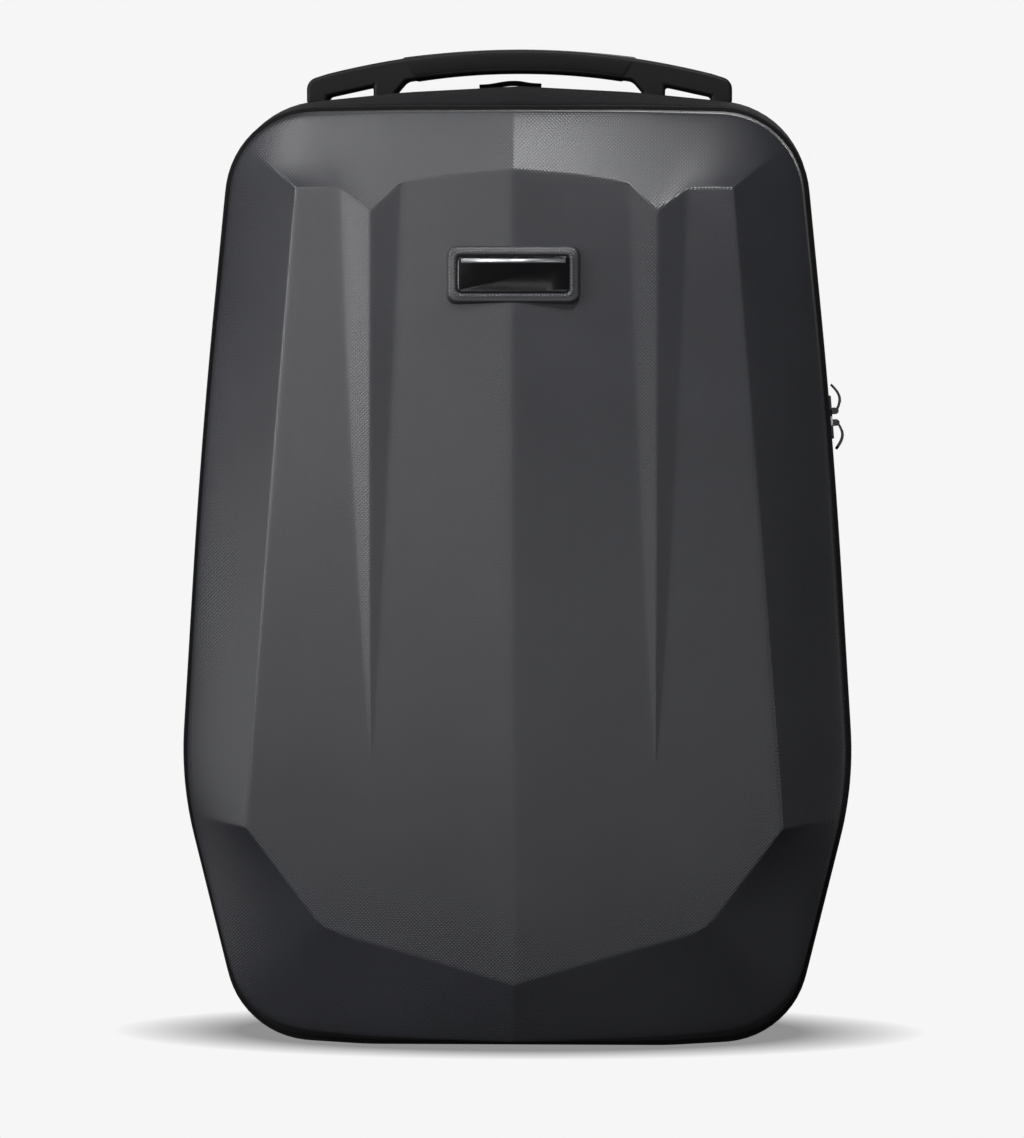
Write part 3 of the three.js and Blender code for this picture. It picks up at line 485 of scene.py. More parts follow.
def grid_faces(rows, columns, wrap_rows, wrap_columns, size_rows, size_columns):
    """Quads of a grid and their flow. Sizes are the lengths, in metres, of all rows and columns."""
    row = np.arange(rows if wrap_rows else rows - 1)
    column = np.arange(columns if wrap_columns else columns - 1)
    r, c = [side.ravel() for side in np.meshgrid(row, column, indexing="ij")]
    up, on = (r + 1) % rows, (c + 1) % columns
    faces = np.stack([r * columns + c, r * columns + on, up * columns + on, up * columns + c], 1)
    du, dv = size_columns / len(column), size_rows / len(row)
    corners = [
        (c * du, r * dv), ((c + 1) * du, r * dv),
        ((c + 1) * du, (r + 1) * dv), (c * du, (r + 1) * dv),
    ]
    flow = np.stack([np.stack(pair, 1) for pair in corners], 1)
    return faces, flow.reshape(-1, 2)


def length_of(points):
    return float(np.linalg.norm(np.diff(np.asarray(points, float), axis=0), axis=1).sum())


def unit(rows):
    return rows / np.linalg.norm(rows, axis=1)[:, None]


def headings(loop):
    """Direction of a closed line at each of its points."""
    return unit(np.roll(loop, -1, 0) - np.roll(loop, 1, 0))


def ring_at(loop, depth):
    """A line in X and Z as points at a depth."""
    return np.stack([loop[:, 0], np.full(len(loop), depth), loop[:, 1]], 1)


def caps(rings, sides, start=0):
    """The two faces that close a tube of so many rings."""
    last = start + (rings - 1) * sides
    return [tuple(range(start, start + sides))[::-1], tuple(range(last, last + sides))]


def tube_faces(start, rings, sides):
    """Faces of a small closed tube whose points begin at start."""
    faces = []
    for ring in range(rings - 1):
        for turn in range(sides):
            a, b = start + ring * sides + turn, start + ring * sides + (turn + 1) % sides
            faces.append((a, b, b + sides, a + sides))
    return faces + caps(rings, sides, start)


def resampled(points, count):
    """The same line with evenly spaced points."""
    points = np.asarray(points, float)
    run = np.concatenate([[0], np.cumsum(np.linalg.norm(np.diff(points, axis=0), axis=1))])
    wanted = np.linspace(0, run[-1], count)
    return np.stack([np.interp(wanted, run, points[:, axis]) for axis in range(points.shape[1])], 1)


def smooth_line(points, steps):
    """A Catmull-Rom curve through the points."""
    points = np.asarray(points, float)
    padded = np.vstack([2 * points[0] - points[1], points, 2 * points[-1] - points[-2]])
    made = []
    for a, b, c, d in zip(padded, padded[1:], padded[2:], padded[3:]):
        for share in np.linspace(0, 1, steps, endpoint=False):
            bend = 2 * b + (c - a) * share + (2 * a - 5 * b + 4 * c - d) * share ** 2
            made.append((bend + (3 * b - a - 3 * c + d) * share ** 3) / 2)
    return np.vstack([made, points[-1]])


def rounded_polygon(corners, radii, steps=14):
    """An open line through corners, each of them but the ends rounded to its radius."""
    corners = [np.asarray(corner, float) for corner in corners]
    made = [corners[0]]
    for before, at, after, radius in zip(corners, corners[1:], corners[2:], radii):
        inward = (before - at) / np.linalg.norm(before - at)
        onward = (after - at) / np.linalg.norm(after - at)
        bend = math.pi - math.acos(float(np.clip(inward @ onward, -1, 1)))
        start = at + inward * radius * math.tan(bend / 2)
        middle = (inward + onward) / np.linalg.norm(inward + onward)
        centre = at + middle * radius / math.cos(bend / 2)
        first = math.atan2(start[1] - centre[1], start[0] - centre[0])
        turn = 1 if inward[0] * onward[1] - inward[1] * onward[0] < 0 else -1
        for step in range(steps + 1):
            angle = first + turn * bend * step / steps
            made.append(centre + radius * np.array([math.cos(angle), math.sin(angle)]))
    return np.array([*made, corners[-1]])


def half_outline(rise, count):
    corners = [(0, 0)]
    corners += [(row["x"] * HALF, row["z"] * RIM_HEIGHT + row["rise"] * rise) for row in OUTLINE]
    corners.append((0, RIM_HEIGHT + rise))
    return resampled(rounded_polygon(corners, [row["round"] * HALF for row in OUTLINE]), count)


def outline_loop(out, rise, count=RIM_POINTS):
    """The whole outline in X and Z, counted from the bottom centre up the right side."""
    right = half_outline(rise, count // 2 + 1)
    loop = np.vstack([right, right[-2:0:-1] * (-1, 1)])
    along = headings(loop)
    return loop + np.stack([along[:, 1], -along[:, 0]], 1) * out


def hoop(name, section, look, count=RIM_POINTS, slot=None, replaces=()):
    """A closed band round the bag. Each row of the section is (out, depth, rise)."""
    rings = []
    for out, depth, rise in section:
        loop = outline_loop(out, rise, count)
        rings.append(ring_at(loop, depth))
    perimeter = length_of(rings[0]) * MM
    girth = length_of([row[:2] for row in [*section, section[0]]]) * MM
    faces, flow = grid_faces(len(rings), len(rings[0]), True, True, girth, perimeter)
    return add_piece(name, np.vstack(rings), faces, look, slot, flow, replaces)


def round_section(middle_out, middle_depth, out_radius, depth_radius, rise, steps=14, power=2.0):
    """A rounded closed section: power 2 is an ellipse, and more is squarer."""
    return [
        (middle_out + 2 * a * out_radius, middle_depth + 2 * b * depth_radius, rise)
        for a, b in superellipse(power, steps)
    ]


# Front shell

def keel_depth(z):
    return SHELL_DEPTH - (z - FRONT_PEAK) ** 2 / (2 * FRONT_RADIUS)


def crease_point(crease, down):
    taper = (1 - down / SPEAR_TIP) ** SPEAR_TAPER if down < SPEAR_TIP else 0.0
    spread = max(SPEAR_WIDTH / 2 * taper, SPEAR_FOOT_END)
    top, bottom = crease["top"], crease["bottom"]
    x = HALF * (top[0] + (bottom[0] - top[0]) * down) + crease["foot"] * spread
    z = RIM_HEIGHT * (top[1] + (bottom[1] - top[1]) * down)
    lift = crease["lift"] * SPEAR_HEIGHT * taper
    return np.array([x, -(keel_depth(z) - PANEL_SLOPE * x + lift), z])


def graded(count, evenness=0.25):
    """Shares from 0 to 1 in so many steps, which are shorter near both ends."""
    even = np.linspace(0, 1, count + 1)
    return even - (1 - evenness) * np.sin(2 * math.pi * even) / (2 * math.pi)


def panel_grid():
    """Points of the right half of the front panel: one row each way down, one column a step."""
    grid = []
    for down in graded(PANEL_ROWS, 0.3):
        corners = [crease_point(crease, down) for crease in CREASES]
        row = []
        for crease, first, second in zip(CREASES, corners, corners[1:]):
            row += [first + (second - first) * share for share in graded(crease["steps"])[:-1]]
        grid.append([*row, corners[-1]])
    return np.array(grid)


def placed(points, start):
    run = np.concatenate([[0], np.cumsum(np.linalg.norm(np.diff(points, axis=0), axis=1))])
    return start + run / run[-1]


def panel_edge(grid):
    """Edge of the panel and its places: 0 to 1 along the foot, 1 to 2 up the side, 2 to 3 on top."""
    foot, side, top = grid[-1], grid[::-1, -1], grid[0, ::-1]
    points = np.vstack([foot, side[1:], top[1:]])
    places = np.concatenate([placed(foot, 0), placed(side, 1)[1:], placed(top, 2)[1:]])
    return points, places


def rim_edge(inset, share):
    """Right half of the rim, at a share of the way to the front edge of the side wall.

    Its points are closer together near the ends of the creases.
    """
    count = 8 * RIM_POINTS
    loop = outline_loop(-inset, 0.0, count)[: count // 2 + 1]
    bend = WALL_SLOPE * loop[:, 0] + loop[:, 0] ** 2 / (2 * WALL_RADIUS)
    depth = share * (keel_depth(loop[:, 1]) - WALL_DROP - bend)
    height = loop[:, 1] + share * FOOT_RISE * np.maximum(0.0, 1 - loop[:, 1] / FOOT_REACH) ** 2
    rim = np.stack([loop[:, 0], -depth, height], 1)
    lower = int(np.argmax(rim[:, 2] > LOWER_ANCHOR * RIM_HEIGHT))
    upper = int(np.argmax(rim[:, 2] > UPPER_ANCHOR * RIM_HEIGHT))
    fine = np.concatenate([
        placed(rim[: lower + 1], 0),
        placed(rim[lower: upper + 1], 1)[1:],
        placed(rim[upper:], 2)[1:],
    ])
    places = np.concatenate([[0], *[start + graded(n)[1:] for start, n in enumerate(SKIRT_POINTS)]])
    return np.stack([np.interp(places, fine, rim[:, axis]) for axis in range(3)], 1), places


def skirt_rings(edge, edge_places):
    front, places = rim_edge(RIM_INSET + WALL_DRAFT, 1.0)
    start = np.stack([np.interp(places, edge_places, edge[:, axis]) for axis in range(3)], 1)
    rings = []
    for step in graded(SKIRT_ROWS)[1:]:
        full = (1 - SKIRT_FULLNESS) * (1 - step) + SKIRT_FULLNESS * math.sqrt(max(0.0, 1 - step * step))
        ring = start + (front - start) * step
        ring[:, 1] = front[:, 1] + (start[:, 1] - front[:, 1]) * full
        rings.append(ring)
    rings += [rim_edge(RIM_INSET + WALL_DRAFT * share, share)[0] for share in WALL_SHARES]
    return rings, places


def strip_by_place(first, first_places, second, second_places):
    """Triangles between two lines of points that run side by side, by their places."""
    a, b, made = 0, 0, []
    while a + 1 < len(first) or b + 1 < len(second):
        next_a = first_places[a + 1] if a + 1 < len(first) else math.inf
        next_b = second_places[b + 1] if b + 1 < len(second) else math.inf
        if next_a <= next_b:
            made.append((first[a], second[b], first[a + 1]))
            a += 1
        else:
            made.append((first[a], second[b], second[b + 1]))
            b += 1
    return made


def shell_surface():
    """Right half of the outer surface as points and faces."""
    grid = panel_grid()
    rows, columns = grid.shape[:2]
    faces = [tuple(face[::-1]) for face in grid_faces(rows, columns, False, False, 1, 1)[0]]
    edge, edge_places = panel_edge(grid)
    foot = [(rows - 1) * columns + c for c in range(columns)]
    side = [r * columns + columns - 1 for r in range(rows - 2, -1, -1)]
    top = [columns - 2 - c for c in range(columns - 1)]
    rings, places = skirt_rings(edge, edge_places)
    start = rows * columns
    width = len(rings[0])
    ids = [list(range(start + k * width, start + (k + 1) * width)) for k in range(len(rings))]
    faces += strip_by_place([*foot, *side, *top], edge_places, ids[0], places)
    for inner, outer in zip(ids, ids[1:]):
        faces += [(inner[i], outer[i], outer[i + 1], inner[i + 1]) for i in range(width - 1)]
    return np.vstack([grid.reshape(-1, 3), *rings]), faces


def softened(points, faces, held, rounds):
    """Rounds the creases of a surface by moving each free point towards its neighbours."""
    edges = {tuple(sorted(pair)) for face in faces for pair in zip(face, [*face[1:], face[0]])}
    edges = np.array(sorted(edges))
    ends = np.concatenate([edges, edges[:, ::-1]])
    counts = np.bincount(ends[:, 0], minlength=len(points))[:, None]
    free = ~held
    for _ in range(rounds):
        total = np.zeros_like(points)
        np.add.at(total, ends[:, 0], points[ends[:, 1]])
        middle = total / counts
        points[free] += 0.5 * (middle[free] - points[free])
    return points


def merged_halves(points, faces):
    """The right half with its mirror image, welded along the middle."""
    on_middle = np.abs(points[:, 0]) < 1e-6
    other = np.where(on_middle, np.arange(len(points)), 0)
    other[~on_middle] = len(points) + np.arange((~on_middle).sum())
    both = np.vstack([points, points[~on_middle] * (-1, 1, 1)])
    mirrored = [tuple(int(other[i]) for i in reversed(face)) for face in faces]
    return both, [*faces, *mirrored]


def corner_normals(points, faces):
    normals = np.zeros_like(points)
    for face in faces:
        a, b, c = points[face[0]], points[face[1]], points[face[2]]
        normals[list(face)] += np.cross(b - a, c - a)
    return unit(normals)


def front_shell():
    points, faces = merged_halves(*shell_surface())
    rim = points[:, 1] > -2 * SHELL_WALL
    points = softened(points, faces, rim, SHELL_SOFTENING)
    normals = corner_normals(points, faces)
    edge = points[:, 1] > -1e-6
    normals[edge, 1] = 0
    normals[edge] = unit(normals[edge])
    middle = points.mean(0)
    sign = 1 if ((points - middle) * normals).sum() > 0 else -1
    inner = points - sign * normals * SHELL_WALL
    count = len(points)
    walls = [tuple(i + count for i in reversed(face)) for face in faces]
    sides = {}
    for face in faces:
        for pair in zip(face, [*face[1:], face[0]]):
            if sides.pop(pair[::-1], None) is None:
                sides[pair] = True
    lip = [(b, a, a + count, b + count) for a, b in sides]
    every = [*faces, *walls, *lip]
    add_piece("shell", np.vstack([points, inner]), every, "shell", replaces=("front_shell",))


# Badge: a moulded frame, a bead round the seat in a lightened copy of the shell colour (painted highlight),
# a bare glossy plate, and a bar across its top that stands in for the plate's reflection highlight (painted
# highlight)

def on_badge(points):
    """From (across, proud, up) at the badge to the bag, leaning back with the keel."""
    lean = math.atan((BADGE_CENTRE - FRONT_PEAK) / FRONT_RADIUS)
    points = np.asarray(points, float)
    y = -points[:, 1] * math.cos(lean) + points[:, 2] * math.sin(lean)
    z = points[:, 2] * math.cos(lean) + points[:, 1] * math.sin(lean)
    return np.stack([points[:, 0], y - keel_depth(BADGE_CENTRE), z + BADGE_CENTRE], 1)


def badge_loop(grow, count=160):
    """A rounded rectangle round the plate, grown by a distance, as across and up."""
    x, z = BADGE_WIDTH / 2 + grow, BADGE_HEIGHT / 2 + grow
    radius = max(BADGE_ROUND + 0.5 * grow, 0.3)
    corners = [(0, -z), (x, -z), (x, z), (-x, z), (-x, -z), (0, -z)]
    return resampled(rounded_polygon(corners, [radius] * 4, 8), count + 1)[:-1]


def badge_lathe(name, profile, look, slot=None, capped=False):
    """Rings of (grow, proud) round the badge, joined in turn."""
    rings = []
    for grow, proud in profile:
        rings.append(ring_at(badge_loop(grow), proud))
    count = len(rings[0])
    faces = grid_faces(len(rings), count, False, True, 1, 1)[0].tolist()
    if capped:
        faces += caps(len(rings), count)
    return add_piece(name, on_badge(np.vstack(rings)), faces, look, slot)


def badge():
    top, border = FRAME_PROUD, FRAME_BORDER
    frame_profile = [
        (-0.6, -FRAME_ROOT), (-0.6, 0.0), (0.3, 0.0), (0.35, top - 0.7), (0.6, top - 0.2), (1.0, top),
        (2.0, top - 0.1), (2.6, top - 0.35), (border, top - 0.35), (border + 0.6, top - 0.6),
        (border + 1.0, top - 1.2), (border + 1.4, top - 3.0), (border + 1.8, top - 5.6),
        (border + 2.2, top - 7.4), (border + 2.2, -FRAME_ROOT),
    ]
    badge_lathe("badge_frame", frame_profile + [(-0.6, -FRAME_ROOT)], "shell")
    plate_top = top - 0.4
    plate_profile = [(-0.1, 0.0), (-0.05, plate_top - 0.5), (-0.25, plate_top - 0.15), (-0.7, plate_top)]
    plate = badge_lathe("badge_face", plate_profile, "plate", capped=True)
    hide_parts("badge_plate")
    beads, faces = [], []
    loop = badge_loop(BEAD_GROW, BEAD_COUNT)
    for at, way in zip(loop, headings(loop)):
        add_bead(beads, faces, at, way, top - 0.1)
    # The bead takes the lightened copy of the shell colour: a painted highlight along the ridge.
    add_piece("badge_bead", on_badge(beads), faces, "bead", "shell")
    # A bright metal bar across the top of the plate: a painted highlight, standing in for the plate's
    # reflection of the lights.
    bar_points, bar_faces = [], []
    add_bar(bar_points, bar_faces, (-LINE_REACH, LINE_REACH), (LINE_LOW, LINE_HIGH), plate_top)
    add_piece("badge_highlight_bar", on_badge(bar_points), bar_faces, "silver", "metal")


def add_bead(points, faces, at, way, proud):
    """One slanted rib of the cord-like ridge round the plate."""
    start = len(points)
    side = np.array([-way[1], way[0]])
    rings, sides = 5, 6
    for ring in range(rings):
        swell = math.sin(math.pi * (ring + 0.5) / rings)
        shift = (ring / (rings - 1) - 0.5) * 1.3
        for turn in range(sides):
            angle = 2 * math.pi * turn / sides
            flat = at + way * (shift + 0.6 * math.cos(angle)) + side * 0.8 * swell * math.cos(angle)
            points.append((flat[0], proud + 0.55 * swell * math.sin(angle), flat[1]))
    faces += tube_faces(start, rings, sides)


def add_bar(points, faces, across, up, proud):
    start = len(points)
    for height in (proud - 0.3, proud + 0.12):
        points += [(across[0], height, up[0]), (across[1], height, up[0])]
        points += [(across[1], height, up[1]), (across[0], height, up[1])]
    quads = [(0, 1, 2, 3), (7, 6, 5, 4), (0, 4, 5, 1), (1, 5, 6, 2), (2, 6, 7, 3), (3, 7, 4, 0)]
    faces += [tuple(start + i for i in quad) for quad in quads]


# Soft layers behind the shell

def edge_binding(name, front, rise, node):
    """Edge tape folded over the seam: a rounded outer face and a flat hidden inner side."""
    middle = front + BINDING_DEPTH / 2
    out = -BINDING_INSET - BINDING_WALL / 2
    section = round_section(out, middle, BINDING_WALL / 2, BINDING_DEPTH / 2, rise, 16, 3.2)
    return hoop(name, section, "binding", replaces=(node,))


def zip_tape():
    back = TAPE_FRONT + TAPE_DEPTH
    low = -TAPE_INSET - TAPE_WALL
    coil = CHAIN_WIDTH / 2 + 0.6
    section = [
        (low, TAPE_FRONT, 0), (-TAPE_INSET, TAPE_FRONT, 0),
        (-TAPE_INSET, CHAIN_MIDDLE - coil - 0.8, 0), (-TAPE_INSET - 0.35, CHAIN_MIDDLE - coil, 0),
        (-TAPE_INSET - 0.35, CHAIN_MIDDLE + coil, 0), (-TAPE_INSET, CHAIN_MIDDLE + coil + 0.8, 0),
        (-TAPE_INSET, back, 0), (low, back, 0),
    ]
    hoop("zip_tape_cloth", section, "zip_tape", replaces=("zip_tape",))


def zip_teeth():
    """Two rows of coil loops that mesh along the middle of the tape."""
    pitch_loop = outline_loop(-TAPE_INSET + 0.75, 0.0, 2 * TEETH_COUNT)
    points, faces = [], []
    for index, (at, way) in enumerate(zip(pitch_loop, headings(pitch_loop))):
        side = 1 if index % 2 else -1
        add_tooth(points, faces, at, way, side)
    add_piece("zip_coil", points, faces, "zip_teeth", replaces=("zip_chain",))


def add_tooth(points, faces, at, way, side):
    """One loop of the coil, from its own edge of the chain to a little past the middle."""
    start = len(points)
    out = np.array([way[1], -way[0]])
    stations = ((2.9, -0.25, 0.5), (1.4, 0.35, 0.62), (-0.5, 0.4, 0.55), (-1.0, 0.0, 0.35))
    for across, lift, size in stations:
        for dx, dz in ((-1, -1), (1, -1), (1, 0.6), (0.4, 1), (-0.4, 1), (-1, 0.6)):
            flat = at + way * dx * size * 0.85 + out * (lift + dz * size * 0.55)
            points.append((flat[0], CHAIN_MIDDLE + side * across, flat[1]))
    faces += tube_faces(start, len(stations), 6)


def gusset_profile():
    """Outer face of the gusset from front to back as (out, depth, rise), softly crowned."""
    stations = [
        (-BINDING_INSET, GUSSET_FRONT, 0.2), (0, GUSSET_FRONT + GUSSET_CROWN, 0.7),
        (0, GUSSET_FRONT + 2.5 * GUSSET_CROWN, 1.0), (0, GUSSET_BACK - 2.5 * GUSSET_CROWN, 1.0),
        (0, GUSSET_BACK - GUSSET_CROWN, 0.9), (-BINDING_INSET, GUSSET_BACK, 0.8),
    ]
    depths = np.linspace(GUSSET_FRONT, GUSSET_BACK, 30)
    known = [row[1] for row in stations]
    out = np.interp(depths, known, [row[0] for row in stations])
    rise = np.interp(depths, known, [row[2] for row in stations]) * TOP_RISE
    return list(zip(out, depths, rise))


def gusset():
    outer = gusset_profile()
    inner = [(out - GUSSET_WALL, depth, rise) for out, depth, rise in reversed(outer)]
    cloth = hoop("gusset_cloth", [*outer, *inner], "gusset", replaces=("gusset",))
    rim = outline_loop(0, TOP_RISE)


def stitch_hoop(name, out, depth, rise, length=3.2, gap=1.4):
    """A row of thread stitches round the bag at one depth."""
    total = length_of(outline_loop(out, rise))
    count = int(total / (length + gap))
    loop = outline_loop(out, rise, count * 2)
    points, faces = [], []
    for first, second in zip(loop[::2], loop[1::2]):
        start = np.array([first[0], depth, first[1]])
        end = np.array([second[0], depth, second[1]])
        add_stitch(points, faces, start, start + (end - start) * (2 * length / (length + gap)))
    return add_piece(name, points, faces, "thread", "webbing")


def add_stitch(points, faces, start, end, radius=0.32):
    """A short thread with tapered ends that dip into the cloth."""
    base = len(points)
    along = (end - start) / np.linalg.norm(end - start)
    helper = np.array([0.0, 1.0, 0.0]) if abs(along[1]) < 0.9 else np.array([1.0, 0.0, 0.0])
    side = np.cross(along, helper)
    side /= np.linalg.norm(side)
    up = np.cross(along, side)
    stations = ((0, 0.35), (0.18, 1), (0.82, 1), (1, 0.35))
    for share, size in stations:
        middle = start + (end - start) * share
        for turn in range(6):
            angle = math.pi * turn / 3
            offset = side * math.cos(angle) + up * math.sin(angle)
            points.append(middle + offset * radius * size)
    faces += tube_faces(base, len(stations), 6)


# Back

def back_panel():
    """Padded back: sewn channels between soft crowned fields, behind a flat lining."""
    inset = BINDING_INSET + BINDING_WALL + CLEAR
    rise = TOP_RISE * 0.8
    edge = outline_loop(-inset, rise, 240)
    centre = np.array([0.0, RIM_HEIGHT * 0.5])
    front = BACK_FACE - PANEL_THICKNESS
    rings = []
    for share in (0.02, 0.5, 0.96):
        ring = centre + (edge - centre) * share
        rings.append(ring_at(ring, front))
    for share, depth in ((0.99, front + 1.2), (1.0, front + 3.5), (1.0, BACK_FACE - PAD_ROLL)):
        ring = centre + (edge - centre) * share
        rings.append(ring_at(ring, depth))
    for share in [1 - 0.97 * (step / 64) for step in range(65)]:
        ring = centre + (edge - centre) * share
        gap = (1 - share) * HALF
        shoulder = min(1.0, gap / PAD_SHOULDER)
        depth = BACK_FACE - PAD_ROLL + PAD_CROWN * math.sqrt(1 - (1 - shoulder) ** 2)
        depths = depth - channel_depth(ring[:, 0], ring[:, 1], gap)
        rings.append(np.stack([ring[:, 0], depths, ring[:, 1]], 1))
    count = len(edge)
    faces = grid_faces(len(rings), count, False, True, 1, 1)[0].tolist()
    faces += caps(len(rings), count)
    points = np.vstack(rings)
    flow = [points[i][[0, 2]] * MM for face in faces for i in face]
    obj = add_piece("back_pad", points, faces, "padding", flow=flow, replaces=("back_panel",))


def channel_depth(x, z, gap):
    """How far the sewn channels of the back dip at a place."""
    lines = [np.abs(np.abs(x) - CHANNEL_SIDE), *[np.abs(z - height) for height in CHANNEL_HEIGHTS]]
    dip = np.zeros_like(x)
    for line in lines:
        dip = np.maximum(dip, CHANNEL_DIP * np.exp(-(line / CHANNEL_DIP) ** 2))
    border = BORDER_DIP * math.exp(-((gap - BORDER_PLACE) / BORDER_WIDTH) ** 2)
    inside = 1.0 if gap > BORDER_PLACE else 0.0
    return np.maximum(dip * inside, border)


# Shoulder straps

def strap_course(side):
    """Stops of a pad's middle line, and the frame of the buckle below it."""
    places, widths, thicknesses = [], [], []
    for values in PAD_COURSE:
        row = dict(zip(PAD_COLUMNS, values))
        x = side * (PAD_SIDE_TOP + (PAD_SIDE_BOTTOM - PAD_SIDE_TOP) * row["side"])
        y = BACK_FACE + CLEAR + PAD_THICKNESS / 2 + row["off"] * PAD_ARCH
        places.append((x, y, PAD_TOP - row["down"] * PAD_DROP))
        widths.append(row["wide"] * PAD_WIDTH)
        thicknesses.append(row["thick"] * PAD_THICKNESS)
    web_face = BACK_FACE + 2 * CLEAR + TAB_PLATE + WEB_THICKNESS / 2
    anchor = np.array([side * ANCHOR_SIDE, web_face, ANCHOR_HEIGHT + ANCHOR_LAP])
    end = np.array(places[-1])
    run = (anchor - end) / np.linalg.norm(anchor - end)
    across = np.array([1.0, 0.0, 0.0]) - run * run[0]
    across /= np.linalg.norm(across)
    out = np.cross(across, run)
    reach = BUCKLE_BAR * 1.5 + BUCKLE_SLOT + 2 * TONGUE_WALL
    return {
        "places": np.array(places), "widths": widths, "thicknesses": thicknesses, "anchor": anchor,
        "across": across, "out": out, "up": -run, "centre": end + run * reach,
    }


def swept(line, across, section, widths, thicknesses):
    """Rings of a section along a line, with a closing face at each end."""
    line = np.asarray(line, float)
    along = unit(np.gradient(line, axis=0))
    side = unit(across - along * (along @ across)[:, None])
    out = np.cross(along, side)
    points = []
    for at, s, o, width, thick in zip(line, side, out, widths, thicknesses):
        points += [at + s * a * width + o * b * thick for a, b in section]
    count = len(section)
    girth = np.mean(widths) * 2 * MM
    faces, flow = grid_faces(len(line), count, False, True, length_of(line) * MM, girth)
    flow = flow[:, ::-1]
    faces = faces.tolist()
    ends = caps(len(line), count)
    flow = np.vstack([flow, np.zeros((2 * count, 2))])
    return np.array(points), [*faces, *ends], flow


def superellipse(power, steps):
    made = []
    for angle in np.linspace(0, 2 * math.pi, steps, endpoint=False):
        cosine, sine = math.cos(angle), math.sin(angle)
        a = math.copysign(abs(cosine) ** (2 / power), cosine) / 2
        b = math.copysign(abs(sine) ** (2 / power), sine) / 2
        made.append((a, b))
    return made


def strap_lines(course, steps=8):
    line = smooth_line(course["places"], steps)
    rows = np.linspace(0, len(course["widths"]) - 1, len(line))
    known = np.arange(len(course["widths"]))
    return line, np.interp(rows, known, course["widths"]), np.interp(rows, known, course["thicknesses"])


def inflate(obj, pressure, limit, voxel=0.005):
    """Swells a pad with a short cloth simulation and keeps each point within a limit of its place."""
    bpy.context.view_layer.objects.active = obj
    obj.select_set(True)
    remesh = obj.modifiers.new("even", "REMESH")
    remesh.mode = "VOXEL"
    remesh.voxel_size = voxel
    bpy.ops.object.modifier_apply(modifier=remesh.name)
    before = np.array([vertex.co for vertex in obj.data.vertices])
    cloth = obj.modifiers.new("swell", "CLOTH")
    cloth.settings.use_pressure = True
    cloth.settings.uniform_pressure_force = pressure
    cloth.settings.effector_weights.gravity = 0
    cloth.settings.quality = 6
    scene = bpy.context.scene
    for number in range(1, 21):
        scene.frame_set(number)
    bpy.ops.object.modifier_apply(modifier=cloth.name)
    scene.frame_set(1)
    after = np.array([vertex.co for vertex in obj.data.vertices])
    move = after - before
    far = np.linalg.norm(move, axis=1)
    share = np.minimum(1.0, limit / np.maximum(far, 1e-9))
    placed_at = before + move * share[:, None]
    obj.data.vertices.foreach_set("co", placed_at.astype(np.float32).ravel())
    divide = obj.modifiers.new("fine", "SUBSURF")
    divide.levels = 1
    bpy.ops.object.modifier_apply(modifier=divide.name)
    obj.data.polygons.foreach_set("use_smooth", [True] * len(obj.data.polygons))
    obj.select_set(False)


def planar_flow(obj):
    """Flow from X and Z, for a piece whose own flow the remesh has removed."""
    layer = obj.data.uv_layers.get("flow") or obj.data.uv_layers.new(name="flow")
    corners = np.empty(len(obj.data.loops), np.int32)
    obj.data.loops.foreach_get("vertex_index", corners)
    places = np.array([vertex.co for vertex in obj.data.vertices])
    layer.data.foreach_set("uv", places[corners][:, [0, 2]].astype(np.float32).ravel())


def strap(side, name):
    course = strap_course(side)
    line, widths, thicknesses = strap_lines(course)
    across = np.array([1.0, 0.0, 0.0])
    pad = add_piece(
        f"strap_pad_{name}",
        *swept(line, across, superellipse(3.4, 28), widths * 0.96, thicknesses * 0.86)[:2],
        "padding",
    )
    inflate(pad, PAD_PRESSURE, PAD_SWELL * MM)
    planar_flow(pad)
    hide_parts(f"strap_{name}")
    strap_edge(course, name)
    strap_tongue(course, name)
    webbing(course, side, name)


def strap_edge(course, name):
    """Edge tape round a pad, with a row of stitches just inside it on both faces."""
    line, widths = strap_lines(course)[:2]
    along = unit(np.gradient(line, axis=0))
    across = np.array([1.0, 0.0, 0.0])
    sides = unit(across - along * (along @ across)[:, None])
    left = line - sides * (widths / 2 - EDGE_INSET)[:, None]
    right = line + sides * (widths / 2 - EDGE_INSET)[:, None]
    loop = np.vstack([left, right[::-1], left[:1]])
    loop = resampled(loop, EDGE_POINTS)[:-1]
    out = np.array([0.0, 1.0, 0.0])
    ring = headings(loop)
    outward = unit(np.cross(ring, out))
    normal = np.cross(outward, ring)
    points = []
    for at, o, n in zip(loop, outward, normal):
        points += [at + o * a * EDGE_WIDTH + n * b * EDGE_DEPTH for a, b in superellipse(2.6, 12)]
    faces, flow = grid_faces(len(loop), 12, True, True, length_of(loop) * MM, 0.016)
    add_piece(f"strap_edge_{name}", points, faces, "binding", flow=flow[:, ::-1])
    stitch_points, stitch_faces = [], []
    for face in (-1, 1):
        lifted = loop - outward * EDGE_STITCH_INSET + normal * face * EDGE_STITCH_PROUD
        count = 2 * int(length_of(lifted) / EDGE_STITCH_PITCH)
        fine = resampled(np.vstack([lifted, lifted[:1]]), count)
        for start, end in zip(fine[::2], fine[1::2]):
            add_stitch(stitch_points, stitch_faces, start, start + (end - start) * 1.35)
    add_piece(f"strap_stitches_{name}", stitch_points, stitch_faces, "thread", "webbing")


def from_buckle(course, points):
    """From (across, out, up) at a buckle to the bag."""
    axes = np.stack([course["across"], course["out"], course["up"]])
    return course["centre"] + np.asarray(points, float) @ axes


